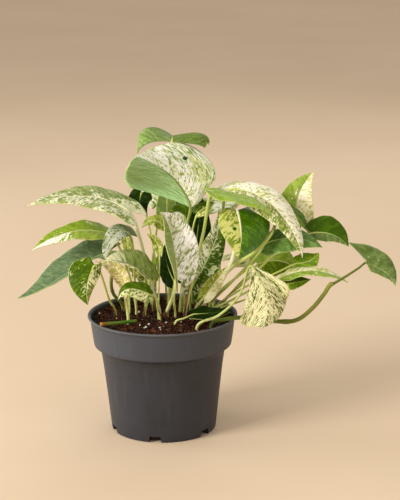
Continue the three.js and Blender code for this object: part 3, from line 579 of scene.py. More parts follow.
def leaf_material(name, underside):
    """Marbled leaf tissue. The underside is the same marbling seen through a paler, duller skin."""
    material, tree, shader = new_material(name)

    def written(layer):
        """The four numbers that the mesh carries under one name."""
        colour = node(tree, "Attribute", attribute_name=layer).outputs
        return [*node(tree, "SeparateColor", [colour["Color"]]).outputs, colour["Alpha"]]

    def place_on(layer):
        """The two coordinates of one UV map."""
        return node(tree, "SeparateXYZ", [node(tree, "UVMap", uv_map=layer)]).outputs[:2]

    def weighted(*parts, plus=0.0):
        """Patterns added up, each times its weight, and a plain number added to them."""
        total = plus
        for pattern, weight in parts:
            total = node(tree, "Math", [pattern, weight, total], operation="MULTIPLY_ADD")
        return total

    def ramp(value, low, high):
        """0 below low, 1 above high, smooth between."""
        return node(tree, "MapRange", {"Value": value, "From Min": low, "From Max": high},
                    interpolation_type="SMOOTHSTEP")

    def above(pattern, level, soft):
        """1 where a pattern lies above a level, 0 below, with a soft edge."""
        return ramp(pattern, weighted((level, 1.0), plus=-soft), weighted((level, 1.0), plus=soft))

    def lay(colour, over, where, strength=1.0, how="MIX"):
        """Lays a colour over another, where a pattern is 1 and as strongly as told."""
        share = weighted((where, strength))
        return node(tree, "Mix", [share, over, colour], data_type="RGBA", blend_type=how)

    cream_level, pale_level, fleck_level, gloss = written("shares")
    seed, out, stripes, dark = written("habit")
    green_tone, pale_tone, cream_tone = (
        node(tree, "Attribute", attribute_name=tone + "_tone") for tone in ("green", "pale", "cream"))
    up_rib, along_vein = place_on("veins")
    from_joint, across = place_on("blade")

    def grain(across_mm, along_mm, apart, detail=2.0, roughness=0.55):
        """Noise whose grains are so many mm across the veins and along them."""
        place = node(tree, "CombineXYZ", [weighted((up_rib, UV_MM / across_mm)),
                                          weighted((along_vein, UV_MM / along_mm)),
                                          weighted((seed, 1.0), plus=apart)])
        return node(tree, "TexNoise", {"Vector": place, "Scale": 1.0, "Detail": detail,
                                       "Roughness": roughness})

    broad = grain(15.0, 38.0, 0.0)
    streak = grain(4.6, 11.0, 7.3, 3.0, 0.65)
    speck = grain(2.4, 3.6, 13.9, 2.0, 0.7)
    patch = grain(6.0, 13.0, 21.1, 3.0, 0.65)
    cream = above(weighted((speck, 0.42), (streak, 0.34), (broad, 0.24)), cream_level, 0.012)
    pale = above(weighted((speck, 0.5), (patch, 0.5)), pale_level, 0.025)
    fleck = above(grain(3.0, 5.6, 33.7, 1.5), fleck_level, 0.015)

    wander = grain(24.0, 14.0, 44.1)
    in_veins = weighted((up_rib, UV_MM / VEINS_APART), (wander, 2.2))

    def stripe_pattern(per_vein):
        """Soft stripes along the veins, so many from one vein to the next."""
        sine = node(tree, "Math", [weighted((in_veins, 2 * math.pi * per_vein))], operation="SINE")
        return weighted((sine, 0.5), plus=0.5)

    stripe, fine = stripe_pattern(1), stripe_pattern(3)
    furrow = ramp(stripe, 0.16, 0.0)
    shade = ramp(grain(14.0, 30.0, 51.3), 0.40, 0.75)

    body = lay(pale_tone, green_tone, weighted((stripe, stripes)), 0.62)
    body = lay(pale_tone, body, weighted((fine, stripes)), 0.22)
    body = lay(pale_tone, body, pale, 0.85)
    body = lay(cream_tone, body, cream)
    body = lay(green_tone, body, fleck, 0.85)
    body = lay(green_tone, body, shade, 0.18, "MULTIPLY")
    body = lay(linear("#3c5512"), body, weighted((furrow, stripes)), 0.35)
    body = lay(linear("#2f5008"), body, ramp(dark, 0.38, 0.6))

    rib_width = weighted((from_joint, -0.008), plus=0.0105)
    off_rib = ramp(out, weighted((rib_width, 0.55)), rib_width)
    body = lay(cream_tone, body, weighted((off_rib, -1.0), plus=1.0), 0.72)
    to_margin = node(tree, "Math", [weighted((across, 2.0), plus=-1.0)], operation="ABSOLUTE")
    body = lay(linear("#d5d98f"), body, ramp(to_margin, 0.955, 0.99), 0.45)

    wax = grain(6.0, 6.0, 60.2)
    pucker = grain(9.0, 12.0, 70.9, 1.0)
    height = weighted((stripe, 0.5), (pucker, 1.4), (fine, 0.15), (speck, 0.15))
    if underside:
        body = lay(linear("#a3b57c"), body, 0.42)
        skin = {"Roughness": weighted((wax, 0.12), plus=0.58), "Specular IOR Level": 0.12}
    else:
        skin = {"Roughness": weighted((gloss, -0.22), (wax, 0.16), plus=0.42),
                "Specular IOR Level": weighted((gloss, 0.20), plus=0.04),
                "Coat Weight": weighted((weighted((gloss, gloss)), 0.3)), "Coat Roughness": 0.16}
    fill(tree, shader, {
        **skin, "Base Color": body, "IOR": 1.42,
        "Normal": node(tree, "Bump", {"Height": height, "Strength": 0.4, "Distance": 0.001}),
        "Subsurface Weight": 0.10, "Subsurface Radius": (0.6, 1.0, 0.25), "Subsurface Scale": 0.002})
    return material


LEAF_TOP = leaf_material("waxy_leaf_top", False)
LEAF_BACK = leaf_material("matte_leaf_underside", True)
print("leaf material nodes:", len(LEAF_TOP.node_tree.nodes))

# %% [markdown]
# ## The stalk material
# A leaf stalk is smooth, juicy and finely streaked lengthwise. It is greener where it is in the light and
# pale at the foot, where the soil and the sheath kept it dark, and dry brown rags of the sheath cling to it
# there.

# %% Stalk and vine material


def stalk_material(name, stripe_mm, rough):
    """Streaked stem tissue, whose tones from the foot up are written on the mesh."""
    material, tree, shader = new_material(name)
    tone = node(tree, "Attribute", attribute_name="stalk_tone")
    length = node(tree, "UVMap", uv_map="stalk")
    stretched = node(tree, "VectorMath", [length, (UV_MM / 22.0, UV_MM / stripe_mm, 1.0)],
                     operation="MULTIPLY")
    streak = node(tree, "TexNoise", {"Vector": stretched, "Scale": 1.0, "Detail": 3.0})
    light = node(tree, "MapRange", {"Value": streak, "From Min": 0.35, "From Max": 0.68})
    darker = node(tree, "Mix", [0.55, tone, linear("#ccd592")], data_type="RGBA", blend_type="MULTIPLY")
    streaked = node(tree, "Mix", [light, darker, tone], data_type="RGBA")
    from_foot = node(tree, "SeparateXYZ", [length])
    low = node(tree, "MapRange", {"Value": from_foot, "From Min": 0.30, "From Max": 0.55,
                                  "To Min": 0.8, "To Max": 0.0})
    raggy = node(tree, "VectorMath", [length, (UV_MM / 16.0, UV_MM / 2.4, 7.0)], operation="MULTIPLY")
    husk = node(tree, "TexNoise", {"Vector": raggy, "Scale": 1.0, "Detail": 2.0})
    dry = node(tree, "MapRange", {"Value": husk, "From Min": 0.60, "From Max": 0.68})
    browned = node(tree, "Math", [low, dry], operation="MULTIPLY")
    fill(tree, shader, {
        "Base Color": node(tree, "Mix", [browned, streaked, linear("#6a4020")], data_type="RGBA"),
        "Normal": node(tree, "Bump", {"Height": streak, "Strength": 0.3, "Distance": 0.0004}),
        "Roughness": rough, "IOR": 1.42, "Specular IOR Level": 0.3,
        "Subsurface Weight": 0.12, "Subsurface Radius": (0.8, 1.0, 0.3), "Subsurface Scale": 0.003})
    return material


STALK = stalk_material("juicy_leaf_stalk", 1.6, 0.42)
print("made", STALK.name)

# %% [markdown]
# ## A stalk
# A stalk is a grid rolled into a tube round its route. Its section isn't quite round: a groove runs along
# one side. Rings are carried along the route without twisting, so the groove stays on its side.

# %% Rolled tube
FIRST_NORMAL = Vector((0.8, 0.6, 0.1))
GROOVE_ANGLE = 0.42


def rolled_tube(route, rings, sides, radius_at, tones, groove, flatten=0.0):
    """A closed tube along a route, with its UV map in mm and its colour running between the tones."""
    normals, last = [], FIRST_NORMAL
    for i in range(rings + 1):
        along = route.direction(i / rings)
        last = (last - along * last.dot(along)).normalized()
        normals.append(last)

    def place(t, turned):
        along, normal = route.direction(t), normals[round(t * rings)]
        binormal = along.cross(normal)
        angle = 2 * math.pi * turned
        hollow = 1 - groove * math.exp(-((min(angle, 2 * math.pi - angle)) / GROOVE_ANGLE) ** 2)
        radius = radius_at(t) * hollow
        return route.at(t) + normal * (radius * math.cos(angle) * (1 - flatten)) + binormal * (
            radius * math.sin(angle))

    tube = shaped_grid(rings, sides, place)
    mesh = tube.data
    lengths = [0.0]
    for i in range(rings):
        lengths.append(lengths[-1] + (route.at((i + 1) / rings) - route.at(i / rings)).length)
    places = grid_places(mesh)
    along = places[:, 0].copy()
    places[:, 0] = np.interp(along, np.linspace(0, 1, rings + 1), lengths) / UV_MM
    places[:, 1] *= 2 * math.pi * radius_at(0.5) / UV_MM
    mesh.uv_layers[0].name = "stalk"
    mesh.uv_layers[0].uv.foreach_set("vector", places.ravel())
    stops = np.linspace(0, 1, len(tones))
    channels = np.array([linear(tone) for tone in tones]).T
    write_colours(mesh, "stalk_tone", np.stack([np.interp(along, stops, c) for c in channels], 1))
    weld_corners(tube)
    bpy.ops.object.mode_set(mode="EDIT")
    select_open_edges()
    bpy.ops.mesh.edge_face_add()
    face_outwards()
    return tube


# %% [markdown]
# ## The leaves
# Each leaf is one entry: the points of its midrib from the joint to the tip, which way its upper face looks,
# the width, fold and curl of its halves, its mix, the points of its stalk, where that is rooted and how thick
# it is there. A list of two values gives one for each half, or for the face one for each end. An outline has
# the width, slant, fold and curl of each half at five places. A mark has its place along and across, its
# length and breadth in mm, and how much more cream there is, and the dark spot has the first four of these.
# Bend says how late the curl sets in on the way to the margin, and slant_bow says the same of the slant.
# Sweep slants a half towards the tip. The stalk's tones run from its foot up, and a small leaf does with a
# coarser grid.
#
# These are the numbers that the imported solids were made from, so each leaf lies where its solid does. Only
# the turned-over half of the top heart has a truer outline here.

# %% Leaf list
PALE_STALK = ("#f0efb8", "#eaeda4", "#d4de82")
GREEN_STALK = ("#dfe396", "#c3cf70", "#acbf52")
CREAM_STALK = ("#fbf8dc", "#f9f6d4", "#f4f3c4")
LEAVES = [
    dict(name="leaf_top_saddle", mix=["saddle_light", "saddle"], bend=[2, 4],
         outline=[[(42, 0, 4, -75), (46, 0, 22, -125), (50, 0, 34, -160), (40, 0, 30, -150),
                   (0, 0, 20, -60)],
                  [(34, 0, -8, -25), (39, 0, 3, -90), (46, 0, 9, -130), (36, 0, 8, -110),
                   (0, 0, 0, -40)]],
         rib=[(11, 44, 289), (11, 70, 290), (11, 96, 282)], face=[(0, -0.25, 1), (0, 0.3, 1)],
         stalk=[(6, 40, 200), (7, 44, 262)], root=(7, 40), thick=1.9),
    dict(name="leaf_top_heart", mix=["banded", "white"], fine=1.25,
         outline=[[(60, 37, -25, -12), (45, 37, -25, -12), (26, 38, -25, -10), (11, 25, -22, -8),
                   (0, 0, -20, 0)],
                  [(22, 13, -5, -20), (46, -8, -5, -22), (53, -12, -5, -22), (35, -12, -5, -15),
                   (0, 0, 0, 0)]],
         slant_bow=[0.85, 1.3],
         marks=[(0.35, 0.65, 12, 3, -0.06), (0.6, 0.65, 4, 3, -0.06), (0.28, 0.7, 8, 3, -0.04),
                (0.05, 0.3, 14, 8, 0.05), (0.82, 0.15, 12, 5, 0.06)], spot=(0.45, 0.55, 2.6, 2.6),
         rib=[(29, 0, 229), (20, 3, 250), (2, -4, 270), (-24, -18, 286)],
         face=[(0.1, -0.85, 0.5), (-0.2, -0.5, 0.85)], stalk=[(24, 10, 180), (26, 6, 212)], root=(18, 16),
         thick=2.0, tones=("#c9d284", "#8a9c4a", "#68823a")),
    dict(name="leaf_left_long", mix=["long_low", "long_high"], width=[24, 22], fold=[6, 8],
         curl=[-18, -10],
         marks=[(0.75, 0.3, 22, 6, 0.06), (0.5, -0.45, 20, 5, 0.05), (0.33, 0.8, 26, 7, -0.08),
                (0.04, 0.3, 9, 12, 0.14)],
         rib=[(-31, -8, 228), (-61, -4, 241), (-100, -8, 243), (-131, -18, 237)],
         face=[(0.1, -0.3, 0.95), (0, -0.15, 1)], stalk=[(-12, 2, 150), (-22, -5, 200)], root=(-4, 10),
         thick=2.6, tones=CREAM_STALK),
    dict(name="leaf_left_bright", mix=["lime_cream", "lime"], width=17, fold=[6, 10], curl=[-20, -10],
         marks=[(0.75, -0.25, 14, 5, 0.12), (0.55, -0.65, 8, 3, 0.05), (0.15, -0.5, 24, 12, -0.12)],
         rib=[(-56, 10, 202), (-82, 4, 206), (-107, -3, 201), (-129, -12, 190)],
         face=[(0, -0.3, 1), (0, -0.2, 1)], stalk=[(-36, 22, 160), (-46, 16, 190)], root=(-28, 30),
         thick=1.7),
    dict(name="leaf_left_dark", mix="slate", width=[22, 25], fold=[18, 38], curl=[-5, -15],
         rib=[(-54, 14, 180), (-70, 9, 176), (-104, -3, 158), (-146, -16, 141)], face=(-0.2, -0.1, 1),
         stalk=[(-40, 26, 140), (-46, 20, 166)], root=(-38, 22), thick=1.8),
    dict(name="leaf_left_pale_hanging", mix="frost", fine=1.5, width=[10, 11], fold=10, curl=-20,
         rib=[(-30, -22, 207), (-39, -25, 212), (-48, -28, 206), (-54, -34, 185)],
         face=[(0, -0.5, 1), (-0.8, -0.8, 0.1)], stalk=[(-28, 0, 160), (-28, -14, 192)], root=(-27, 10),
         thick=1.4, small=True),
    dict(name="leaf_left_low_hanging", mix=["moss_cream", "moss"], fine=1.3, width=[10, 22],
         fold=[-20, 0], curl=[-20, -15],
         marks=[(0.6, 0.15, 9, 3, 0.1), (0.38, -0.35, 10, 6, 0.06), (0.85, -0.2, 8, 6, -0.12)],
         rib=[(-65, -38, 181), (-71, -46, 169), (-72, -50, 143)], face=[(0, -0.8, 0.7), (0, -1, 0.1)],
         stalk=[(-54, -12, 140), (-58, -22, 160), (-62, -32, 176)], root=(-48, 4), thick=1.4),
    dict(name="leaf_left_tan", mix="tan", fine=1.3, width=9, fold=5, curl=-10,
         rib=[(-38, -26, 150), (-41, -29, 168), (-51, -30, 178), (-66, -30, 183)],
         face=[(-0.8, -0.7, 0.2), (-0.1, -0.5, 0.9)], stalk=[(-36, -19, 138)], root=(-34, -19), thick=1.8,
         small=True),
    dict(name="leaf_centre_left", mix=["ash", "brindled"], width=[20, 21], fold=[30, 33], curl=[-10, -25],
         marks=[(0.8, 0.25, 8, 7, 0.12), (0.85, 0.8, 8, 6, 0.08)],
         rib=[(-12, -30, 164), (-22, -34, 175), (-36, -39, 184), (-56, -44, 187)],
         face=[(0, -0.4, 0.9), (0, -0.34, 0.94)], stalk=[(-14, -10, 138)], root=(-18, 0), thick=1.5),
    dict(name="leaf_small_front", mix=["sprout", "moss"], fine=1.4, width=10, fold=[-10, 10], curl=-20,
         rib=[(-11, -50, 154), (-21, -53, 159), (-31, -55, 161), (-42, -58, 150)],
         face=[(0, -0.6, 0.8), (-0.3, -0.7, 0.6)], stalk=[(-4, -30, 134), (-6, -42, 148)], root=(-2, -16),
         thick=1.2, small=True),
    dict(name="leaf_centre_tall", mix=["sage", "snow"], width=[24, 25], fold=[66, 6], curl=-10,
         sweep=[0, 0.2], rib=[(16, -34, 164), (14, -31, 189), (8, -29, 218), (0, -42, 234)],
         face=[(0.5, -0.85, 0.1), (-0.2, -0.9, 0.4)], stalk=[(6, -12, 128), (12, -28, 148)], root=(4, -2),
         thick=2.4, tones=PALE_STALK),
    dict(name="leaf_centre_dark", mix="shaded", width=12, fold=8, curl=-15,
         rib=[(12, -16, 158), (5, -10, 176), (4, -4, 194)], face=(-0.4, -0.9, 0.1),
         stalk=[(12, -10, 134)], root=(13, -6), thick=1.4, small=True),
    dict(name="leaf_back_dark", mix="shaded", width=15, fold=8, curl=-12,
         rib=[(34, 24, 178), (37, 28, 204), (42, 34, 232)], face=(0, -1, 0.2), stalk=[(32, 28, 145)],
         root=(34, 30), thick=1.5),
    dict(name="leaf_top_small", mix=["moss", "olive"], width=7, fold=10, curl=-10,
         rib=[(36, 20, 219), (45, 20, 226), (54, 20, 230)], face=[(-0.3, -0.8, 0.5), (-0.2, -0.8, 0.6)],
         stalk=[(28, 19, 180), (32, 19, 206)], root=(28, 21), thick=1.2, small=True),
    dict(name="leaf_olive_left", mix="olive", width=7, fold=10, curl=-20,
         rib=[(3, -8, 212), (-8, -10, 219), (-20, -12, 212)], face=[(0, -0.7, 0.7), (-0.3, -0.7, 0.6)],
         stalk=[(3, 8, 170), (5, -2, 200)], root=(5, 12), thick=1.2, small=True),
    dict(name="leaf_tail_narrow", mix="olive", width=5, fold=10, curl=-10,
         rib=[(-2, -18, 187), (-6, -19, 201), (-15, -20, 208)],
         face=[(-0.5, -0.8, 0.2), (-0.2, -0.8, 0.5)], stalk=[(-3, -14, 150)], root=(-4, -10), thick=1.1,
         small=True),
    dict(name="leaf_top_right_long", mix="spring", width=[16, 17], fold=[8, 4], curl=-22,
         rib=[(52, -5, 247), (74, -5, 242), (94, -9, 236), (110, -15, 226)], face=(0, -0.05, 1),
         stalk=[(34, -7, 170), (42, -8, 205)], root=(23, -5), thick=2.2,
         tones=("#dfe39a", "#a9b75c", "#8c9e44")),
    dict(name="leaf_right_cream", mix=["ivory", "ivory_green"], fine=1.15, width=[27, 20], fold=[30, -5],
         curl=[-60, -30],
         marks=[(0.5, 0.6, 9, 5, -0.08), (0.68, 0.5, 9, 4, -0.08)],
         rib=[(66, 28, 241), (92, 18, 240), (122, 0, 219), (140, -28, 184)],
         face=[(0, -0.15, 1), (0.7, -0.5, 0.4)], stalk=[(58, 26, 160), (62, 30, 205)], root=(52, 24),
         thick=2.0),
    dict(name="leaf_right_glossy", mix=["glossy", "chartreuse"], fine=0.8, width=[32, 22], fold=[-5, 5],
         curl=[-25, -30],
         marks=[(0.12, 0.9, 8, 5, -0.09), (0.35, 0.55, 9, 7, 0.08), (0.7, 0.2, 9, 3, 0.06)],
         spot=(0.42, 0.3, 2.4, 2.2), rib=[(76, 2, 226), (79, -14, 214), (79, -27, 198), (76, -36, 185)],
         face=[(0, -0.6, 0.8), (0, -0.8, 0.6)], stalk=[(54, -8, 146), (72, -8, 182), (75, -2, 212)],
         root=(32, -2), thick=2.6, tones=CREAM_STALK),
    dict(name="leaf_centre_marbled", mix=["pepper", "ink"], fine=1.3, width=[14, 15], fold=20,
         curl=[-10, -15],
         marks=[(0.17, 0.75, 9, 4, 0.08), (0.35, 0.65, 9, 3, 0.06)],
         rib=[(30, 2, 145), (41, 3, 166), (52, 7, 188), (58, 17, 225)],
         face=[(0.1, -1, 0.2), (0, -1, 0.2)], stalk=[(25, 7, 130)], root=(22, 8), thick=1.6),
    dict(name="leaf_centre_olive", mix=["olive", "stalky"], width=[8, 9], fold=10, curl=-10,
         rib=[(42, -10, 139), (54, -15, 157), (66, -20, 174)], face=(0, -1, 0.3), stalk=[(35, -8, 130)],
         root=(32, -10), thick=1.4, small=True),
    dict(name="leaf_right_hanging", mix="flecked", fine=1.5,
         outline=[[(17, 41, -10, -20), (19, 28, -10, -20), (21, 11, -10, -20), (14, 5, -10, -20),
                   (0, 0, -10, 0)],
                  [(8, 11, -14, -25), (20, 8, -14, -25), (32, 20, -14, -25), (18, 18, -14, -25),
                   (0, 0, -10, 0)]],
         rib=[(88, -32, 178), (98, -44, 167), (104, -51, 147), (98, -55, 119)],
         face=[(0.2, -0.7, 0.7), (0, -1, 0)], stalk=[(56, -45, 130), (77, -42, 150)], root=(36, -43),
         thick=1.6, tones=("#cfd492", "#b3bb6c", "#a9b25c")),
    dict(name="leaf_right_blue", mix=["fir", "jade"], width=[20, 21], fold=[6, 2], curl=[-15, -20],
         rib=[(106, 2, 192), (130, -2, 198), (161, -10, 190)], face=[(0, -0.4, 0.9), (0.1, -0.4, 0.9)],
         stalk=[(70, 6, 150), (94, 4, 176)], root=(44, 8), thick=1.7),
    dict(name="leaf_right_low_dark", mix=["lime_fresh", "pine"], width=18, fold=5, curl=-15,
         rib=[(98, 28, 163), (114, 27, 167), (140, 24, 157)], face=(0, -0.95, 0.3),
         stalk=[(74, 24, 138), (88, 28, 152)], root=(60, 20), thick=1.5),
    dict(name="leaf_right_bright", mix=["butter", "lime_fresh"], width=14, fold=6, curl=-15,
         rib=[(122, -14, 161), (146, -20, 169), (186, -26, 158)], face=[(0, -0.15, 1), (0, -0.1, 1)],
         stalk=[(70, -10, 136), (100, -12, 152)], root=(43, -10), thick=1.5,
         tones=("#b9bd78", "#a9b05e", "#b4ba64")),
    dict(name="leaf_right_mid_green", mix="leafy", width=[10, 12], fold=6, curl=-15,
         rib=[(136, 4, 170), (149, 0, 174), (158, -4, 183)], face=(0.1, -0.9, 0.4),
         stalk=[(80, 8, 142), (112, 6, 158)], root=(50, 4), thick=1.3, small=True),
    dict(name="leaf_right_under", mix=["bottle", "leafy"], width=7, fold=6, curl=-15,
         rib=[(124, -2, 150), (138, -4, 153), (150, -6, 156)], face=(0, -0.8, 0.6),
         stalk=[(84, -2, 134), (106, -2, 142)], root=(52, -4), thick=1.2, small=True),
    dict(name="leaf_far_right", mix="sea",
         outline=[[(8, -29, 12, -20), (20, -17, 12, -20), (19, -10, 12, -20), (12, -6, 10, -15),
                   (0, 0, 5, 0)],
                  [(1, 0, 5, -10), (7, 0, 8, -20), (6, 0, 8, -20), (4, 0, 5, -10), (0, 0, 5, 0)]],
         marks=[(0.97, 0.0, 7, 6, 0.10), (0.45, -0.45, 14, 4, 0.05)],
         rib=[(204, -24, 178), (213, -29, 174), (223, -35, 169), (231, -42, 158)],
         face=[(0.2, -0.75, 0.6), (0.5, -0.7, 0.5)],
         stalk=[(171, -30, 158), (182, -31, 165), (195, -29, 173)], thick=1.4,
         tones=("#5f6a24", "#66762c", "#7b8c40")),
    dict(name="leaf_right_round", mix=["bottle", "sea"], width=[20, 10], fold=[10, 4], curl=-15,
         rib=[(152, 18, 198), (171, 14, 198), (189, 8, 186)], face=[(0, -0.7, 0.7), (0.1, -0.7, 0.7)],
         stalk=[(88, 14, 152), (128, 20, 186)], root=(56, 11), thick=1.6),
    dict(name="leaf_right_upright", mix=["lime_fresh", "cream"], width=[19, 18], fold=12, curl=-15,
         marks=[(0.55, -0.2, 4, 1.6, 0.16), (0.45, -0.35, 3, 1.2, 0.14)],
         rib=[(143, 44, 200), (138, 48, 220), (144, 52, 238), (156, 54, 254)],
         face=[(0, -1, 0.2), (0, -1, 0.3)], stalk=[(84, 42, 152), (122, 46, 184)], root=(48, 36),
         thick=1.6),
    dict(name="leaf_right_edge_on", mix=["fir", "leafy"], width=12, fold=10, curl=-10,
         rib=[(123, 36, 223), (139, 33, 211), (154, 30, 189)],
         face=[(0.75, -0.35, 0.55), (0.8, -0.3, 0.4)],
         stalk=[(50, 1, 142), (71, -1, 168), (93, -8, 185), (108, -8, 201), (116, 12, 212)],
         root=(46, -2), thick=2.4),
    dict(name="leaf_soil_dark", mix="shaded", width=11, fold=5, curl=-10,
         rib=[(32, -28, 127), (50, -24, 127), (70, -20, 127)], face=(0, -0.4, 0.9),
         stalk=[(22, -30, 123)], root=(14, -30), thick=1.2, small=True),
    dict(name="leaf_behind_heart", mix="shaded", width=13, fold=8, curl=-15,
         rib=[(-20, 26, 240), (-22, 20, 231), (-14, 12, 220)],
         face=[(-0.2, -0.8, 0.6), (-0.2, -0.8, 0.4)], stalk=[(-8, 30, 170), (-18, 34, 225)],
         root=(-8, 26), thick=1.3, small=True),
    dict(name="leaf_left_olive", mix="olive", width=6, fold=8, curl=-15,
         rib=[(-34, 6, 186), (-36, 4, 199), (-40, 2, 209)], face=(-0.2, -0.9, 0.2),
         stalk=[(-34, 12, 150)], root=(-34, 14), thick=1.1, small=True),
    dict(name="leaf_centre_low", mix="lime", width=6, fold=8, curl=-15,
         rib=[(-8, 20, 152), (-5, 20, 166), (-2, 22, 178)], face=(0, -1, 0.2), stalk=[(-10, 20, 134)],
         root=(-11, 20), thick=1.1, small=True),
    dict(name="leaf_low_yellow", mix="chartreuse", width=7, fold=8, curl=-20,
         rib=[(-18, 12, 155), (-24, 11, 162), (-31, 8, 154)], face=[(0, -0.9, 0.5), (-0.3, -0.9, 0.4)],
         stalk=[(-18, 12, 134)], root=(-18, 13), thick=1.1, small=True),
    dict(name="leaf_behind_tall", mix=["snow", "moss"], width=9, fold=8, curl=-15,
         rib=[(24, 30, 212), (17, 30, 218), (6, 30, 214)], face=(0, -0.9, 0.4),
         stalk=[(22, 32, 160), (25, 32, 195)], root=(20, 32), thick=1.3, small=True),
    dict(name="leaf_rear_left_low", mix=["long_low", "lime"], width=20, fold=8, curl=-20,
         rib=[(-50, 46, 168), (-72, 60, 168), (-96, 76, 146)], face=[(-0.3, 0.2, 1), (-0.6, 0.4, 0.7)],
         stalk=[(-40, 42, 145)], root=(-36, 40), thick=1.6),
    dict(name="leaf_rear_left_high", mix=["white", "long_low"], width=24, fold=10, curl=-25,
         rib=[(0, 78, 218), (-2, 102, 226), (-10, 134, 204)], face=[(0, -0.1, 1), (0, 0.5, 0.8)],
         stalk=[(-10, 56, 170), (-4, 70, 205)], root=(-12, 46), thick=1.8),
    dict(name="leaf_rear_centre", mix=["lime", "long_low"], width=26, fold=10, curl=-25,
         rib=[(20, 72, 190), (24, 104, 192), (22, 138, 168)], face=[(0, -0.1, 1), (0, 0.5, 0.8)],
         stalk=[(12, 58, 155)], root=(8, 54), thick=1.8),
    dict(name="leaf_rear_right_high", mix=["long_low", "white"], width=24, fold=10, curl=-25,
         rib=[(44, 66, 214), (62, 92, 218), (76, 124, 198)], face=[(0, -0.1, 1), (0.2, 0.5, 0.8)],
         stalk=[(34, 56, 175)], root=(30, 52), thick=1.8),
    dict(name="leaf_rear_right_low", mix=["cream", "flecked"], width=24, fold=10, curl=-25,
         rib=[(76, 60, 160), (102, 76, 162), (130, 92, 142)], face=[(0.1, 0, 1), (0.5, 0.4, 0.8)],
         stalk=[(62, 52, 142)], root=(45, 43), thick=1.8),
    dict(name="leaf_rear_hanging", mix=["flecked", "leafy"], width=22, fold=-5, curl=-25,
         rib=[(-16, 80, 152), (-18, 96, 148), (-20, 106, 110)], face=[(0, 0.3, 1), (0, 1, 0.1)],
         stalk=[(-16, 66, 138)], root=(-16, 60), thick=1.6),
    dict(name="leaf_rear_upright", mix=["bottle", "leafy"], width=22, fold=12, curl=-20,
         rib=[(17, 50, 198), (13, 54, 226), (8, 54, 254)], face=[(0, 1, 0.1), (0, 0.9, 0.4)],
         stalk=[(22, 46, 160)], root=(22, 44), thick=1.6),
]
print(len(LEAVES), "leaves")

# %% [markdown]
# A leaf is made in three moves: the blade's grid is shaped, painted and thickened, its stalk is rolled and
# run on under the blade as the midrib's ridge, and the two are joined into one object.

# %% Make the leaves
SOIL_LEVEL = 113
ROOT_DEPTH = 14
ROOT_COLLAR = 7
SMALL_GRID, FULL_GRID = (34, 22), (56, 34)
CROWDING = 1.25
PHASE_STEP, SEED_STEP = 0.37, 3.7
RIDGE_AT = (0.16, 0.4, 0.65, 0.88)
RIDGE_SHARE, RIDGE_END = 0.6, 0.25
STALK_THINNING = 0.34
KNEE, KNEE_AT, KNEE_WIDTH = 0.16, 0.93, 0.06


def crowd(t):
    """Places grid columns closer together near the midrib, where the groove is."""
    return math.copysign(abs(t) ** CROWDING, t)


def root_points(plant):
    """The first two points of whatever is rooted in the soil: straight up out of it."""
    if "root" not in plant:
        return []
    x, y = plant["root"]
    return [(x, y, SOIL_LEVEL - ROOT_DEPTH), (x, y, SOIL_LEVEL + ROOT_COLLAR)]


def make_blade(leaf, index):
    """One leaf's blade as a painted sheet with a thickness, and its form."""
    blade = Blade(leaf, PHASE_STEP * index)
    cells = SMALL_GRID if leaf.get("small") else FULL_GRID
    sheet = shaped_grid(*cells, lambda s, a: blade.at(s, crowd(1 - 2 * a)))
    mesh = sheet.data
    places = grid_places(mesh)
    centred = 1 - 2 * places[:, 1]
    places[:, 1] = (1 - np.sign(centred) * np.abs(centred) ** CROWDING) / 2
    mesh.uv_layers[0].uv.foreach_set("vector", places.ravel())
    paint_blade(sheet, blade, SEED_STEP * index)
    weld_corners(sheet)
    bpy.ops.object.shade_smooth()
    for material in (LEAF_TOP, LEAF_BACK, STALK):
        mesh.materials.append(material)
    skin = sheet.modifiers.new("thickness", "SOLIDIFY")
    skin.thickness = BLADE_THICKNESS * MM
    skin.offset = -1.0
    skin.material_offset = 1
    bpy.ops.object.modifier_apply(modifier=skin.name)
    return sheet, blade


def make_leaf(leaf, index, slot):
    sheet, blade = make_blade(leaf, index)
    thick = leaf["thick"]
    joint = blade.rib.at(0) - blade.normal(0.03) * thick * RIDGE_SHARE
    under = [blade.at(s, 0) - blade.normal(s) * (BLADE_THICKNESS * 0.8) for s in RIDGE_AT]
    points = [*root_points(leaf), *leaf["stalk"], joint, *under]
    joint_at = (len(points) - 1 - len(under)) / (len(points) - 1)

    def radius_at(t):
        """The stalk thins upwards to a swollen knee under the joint, and runs out as a ridge."""
        if t <= joint_at:
            share = t / joint_at
            knee = KNEE * math.exp(-((share - KNEE_AT) / KNEE_WIDTH) ** 2)
            return thick * (1 - STALK_THINNING * share + knee)
        share = (t - joint_at) / (1 - joint_at)
        return thick * RIDGE_SHARE * (1 - share) + RIDGE_END

    tube = rolled_tube(Route(points), rings=6 * (len(points) - 1), sides=10, radius_at=radius_at,
                       tones=leaf.get("tones", GREEN_STALK), groove=0.28)
    choose(tube)
    bpy.ops.object.shade_smooth()
    tube.data.materials.append(STALK)
    return settle(join([sheet, tube]), leaf["name"] + "_living", None, slot, leaf["name"])


slot_of = {s["node"]: s["material_slot"] for s in frame["record"]["subparts"]}
made = [make_leaf(leaf, number, slot_of[leaf["name"]]) for number, leaf in enumerate(LEAVES)]
print("leaves:", len(made), "with", sum(len(p.data.polygons) for p in made), "faces")

# %% [markdown]
# ## The vines
# The bare vine, the stub and the cut stem are tubes too, and a little knobbly. A vine has a swollen ring at
# each node, where a leaf once grew, and a cut stem ends in a flat brown face.

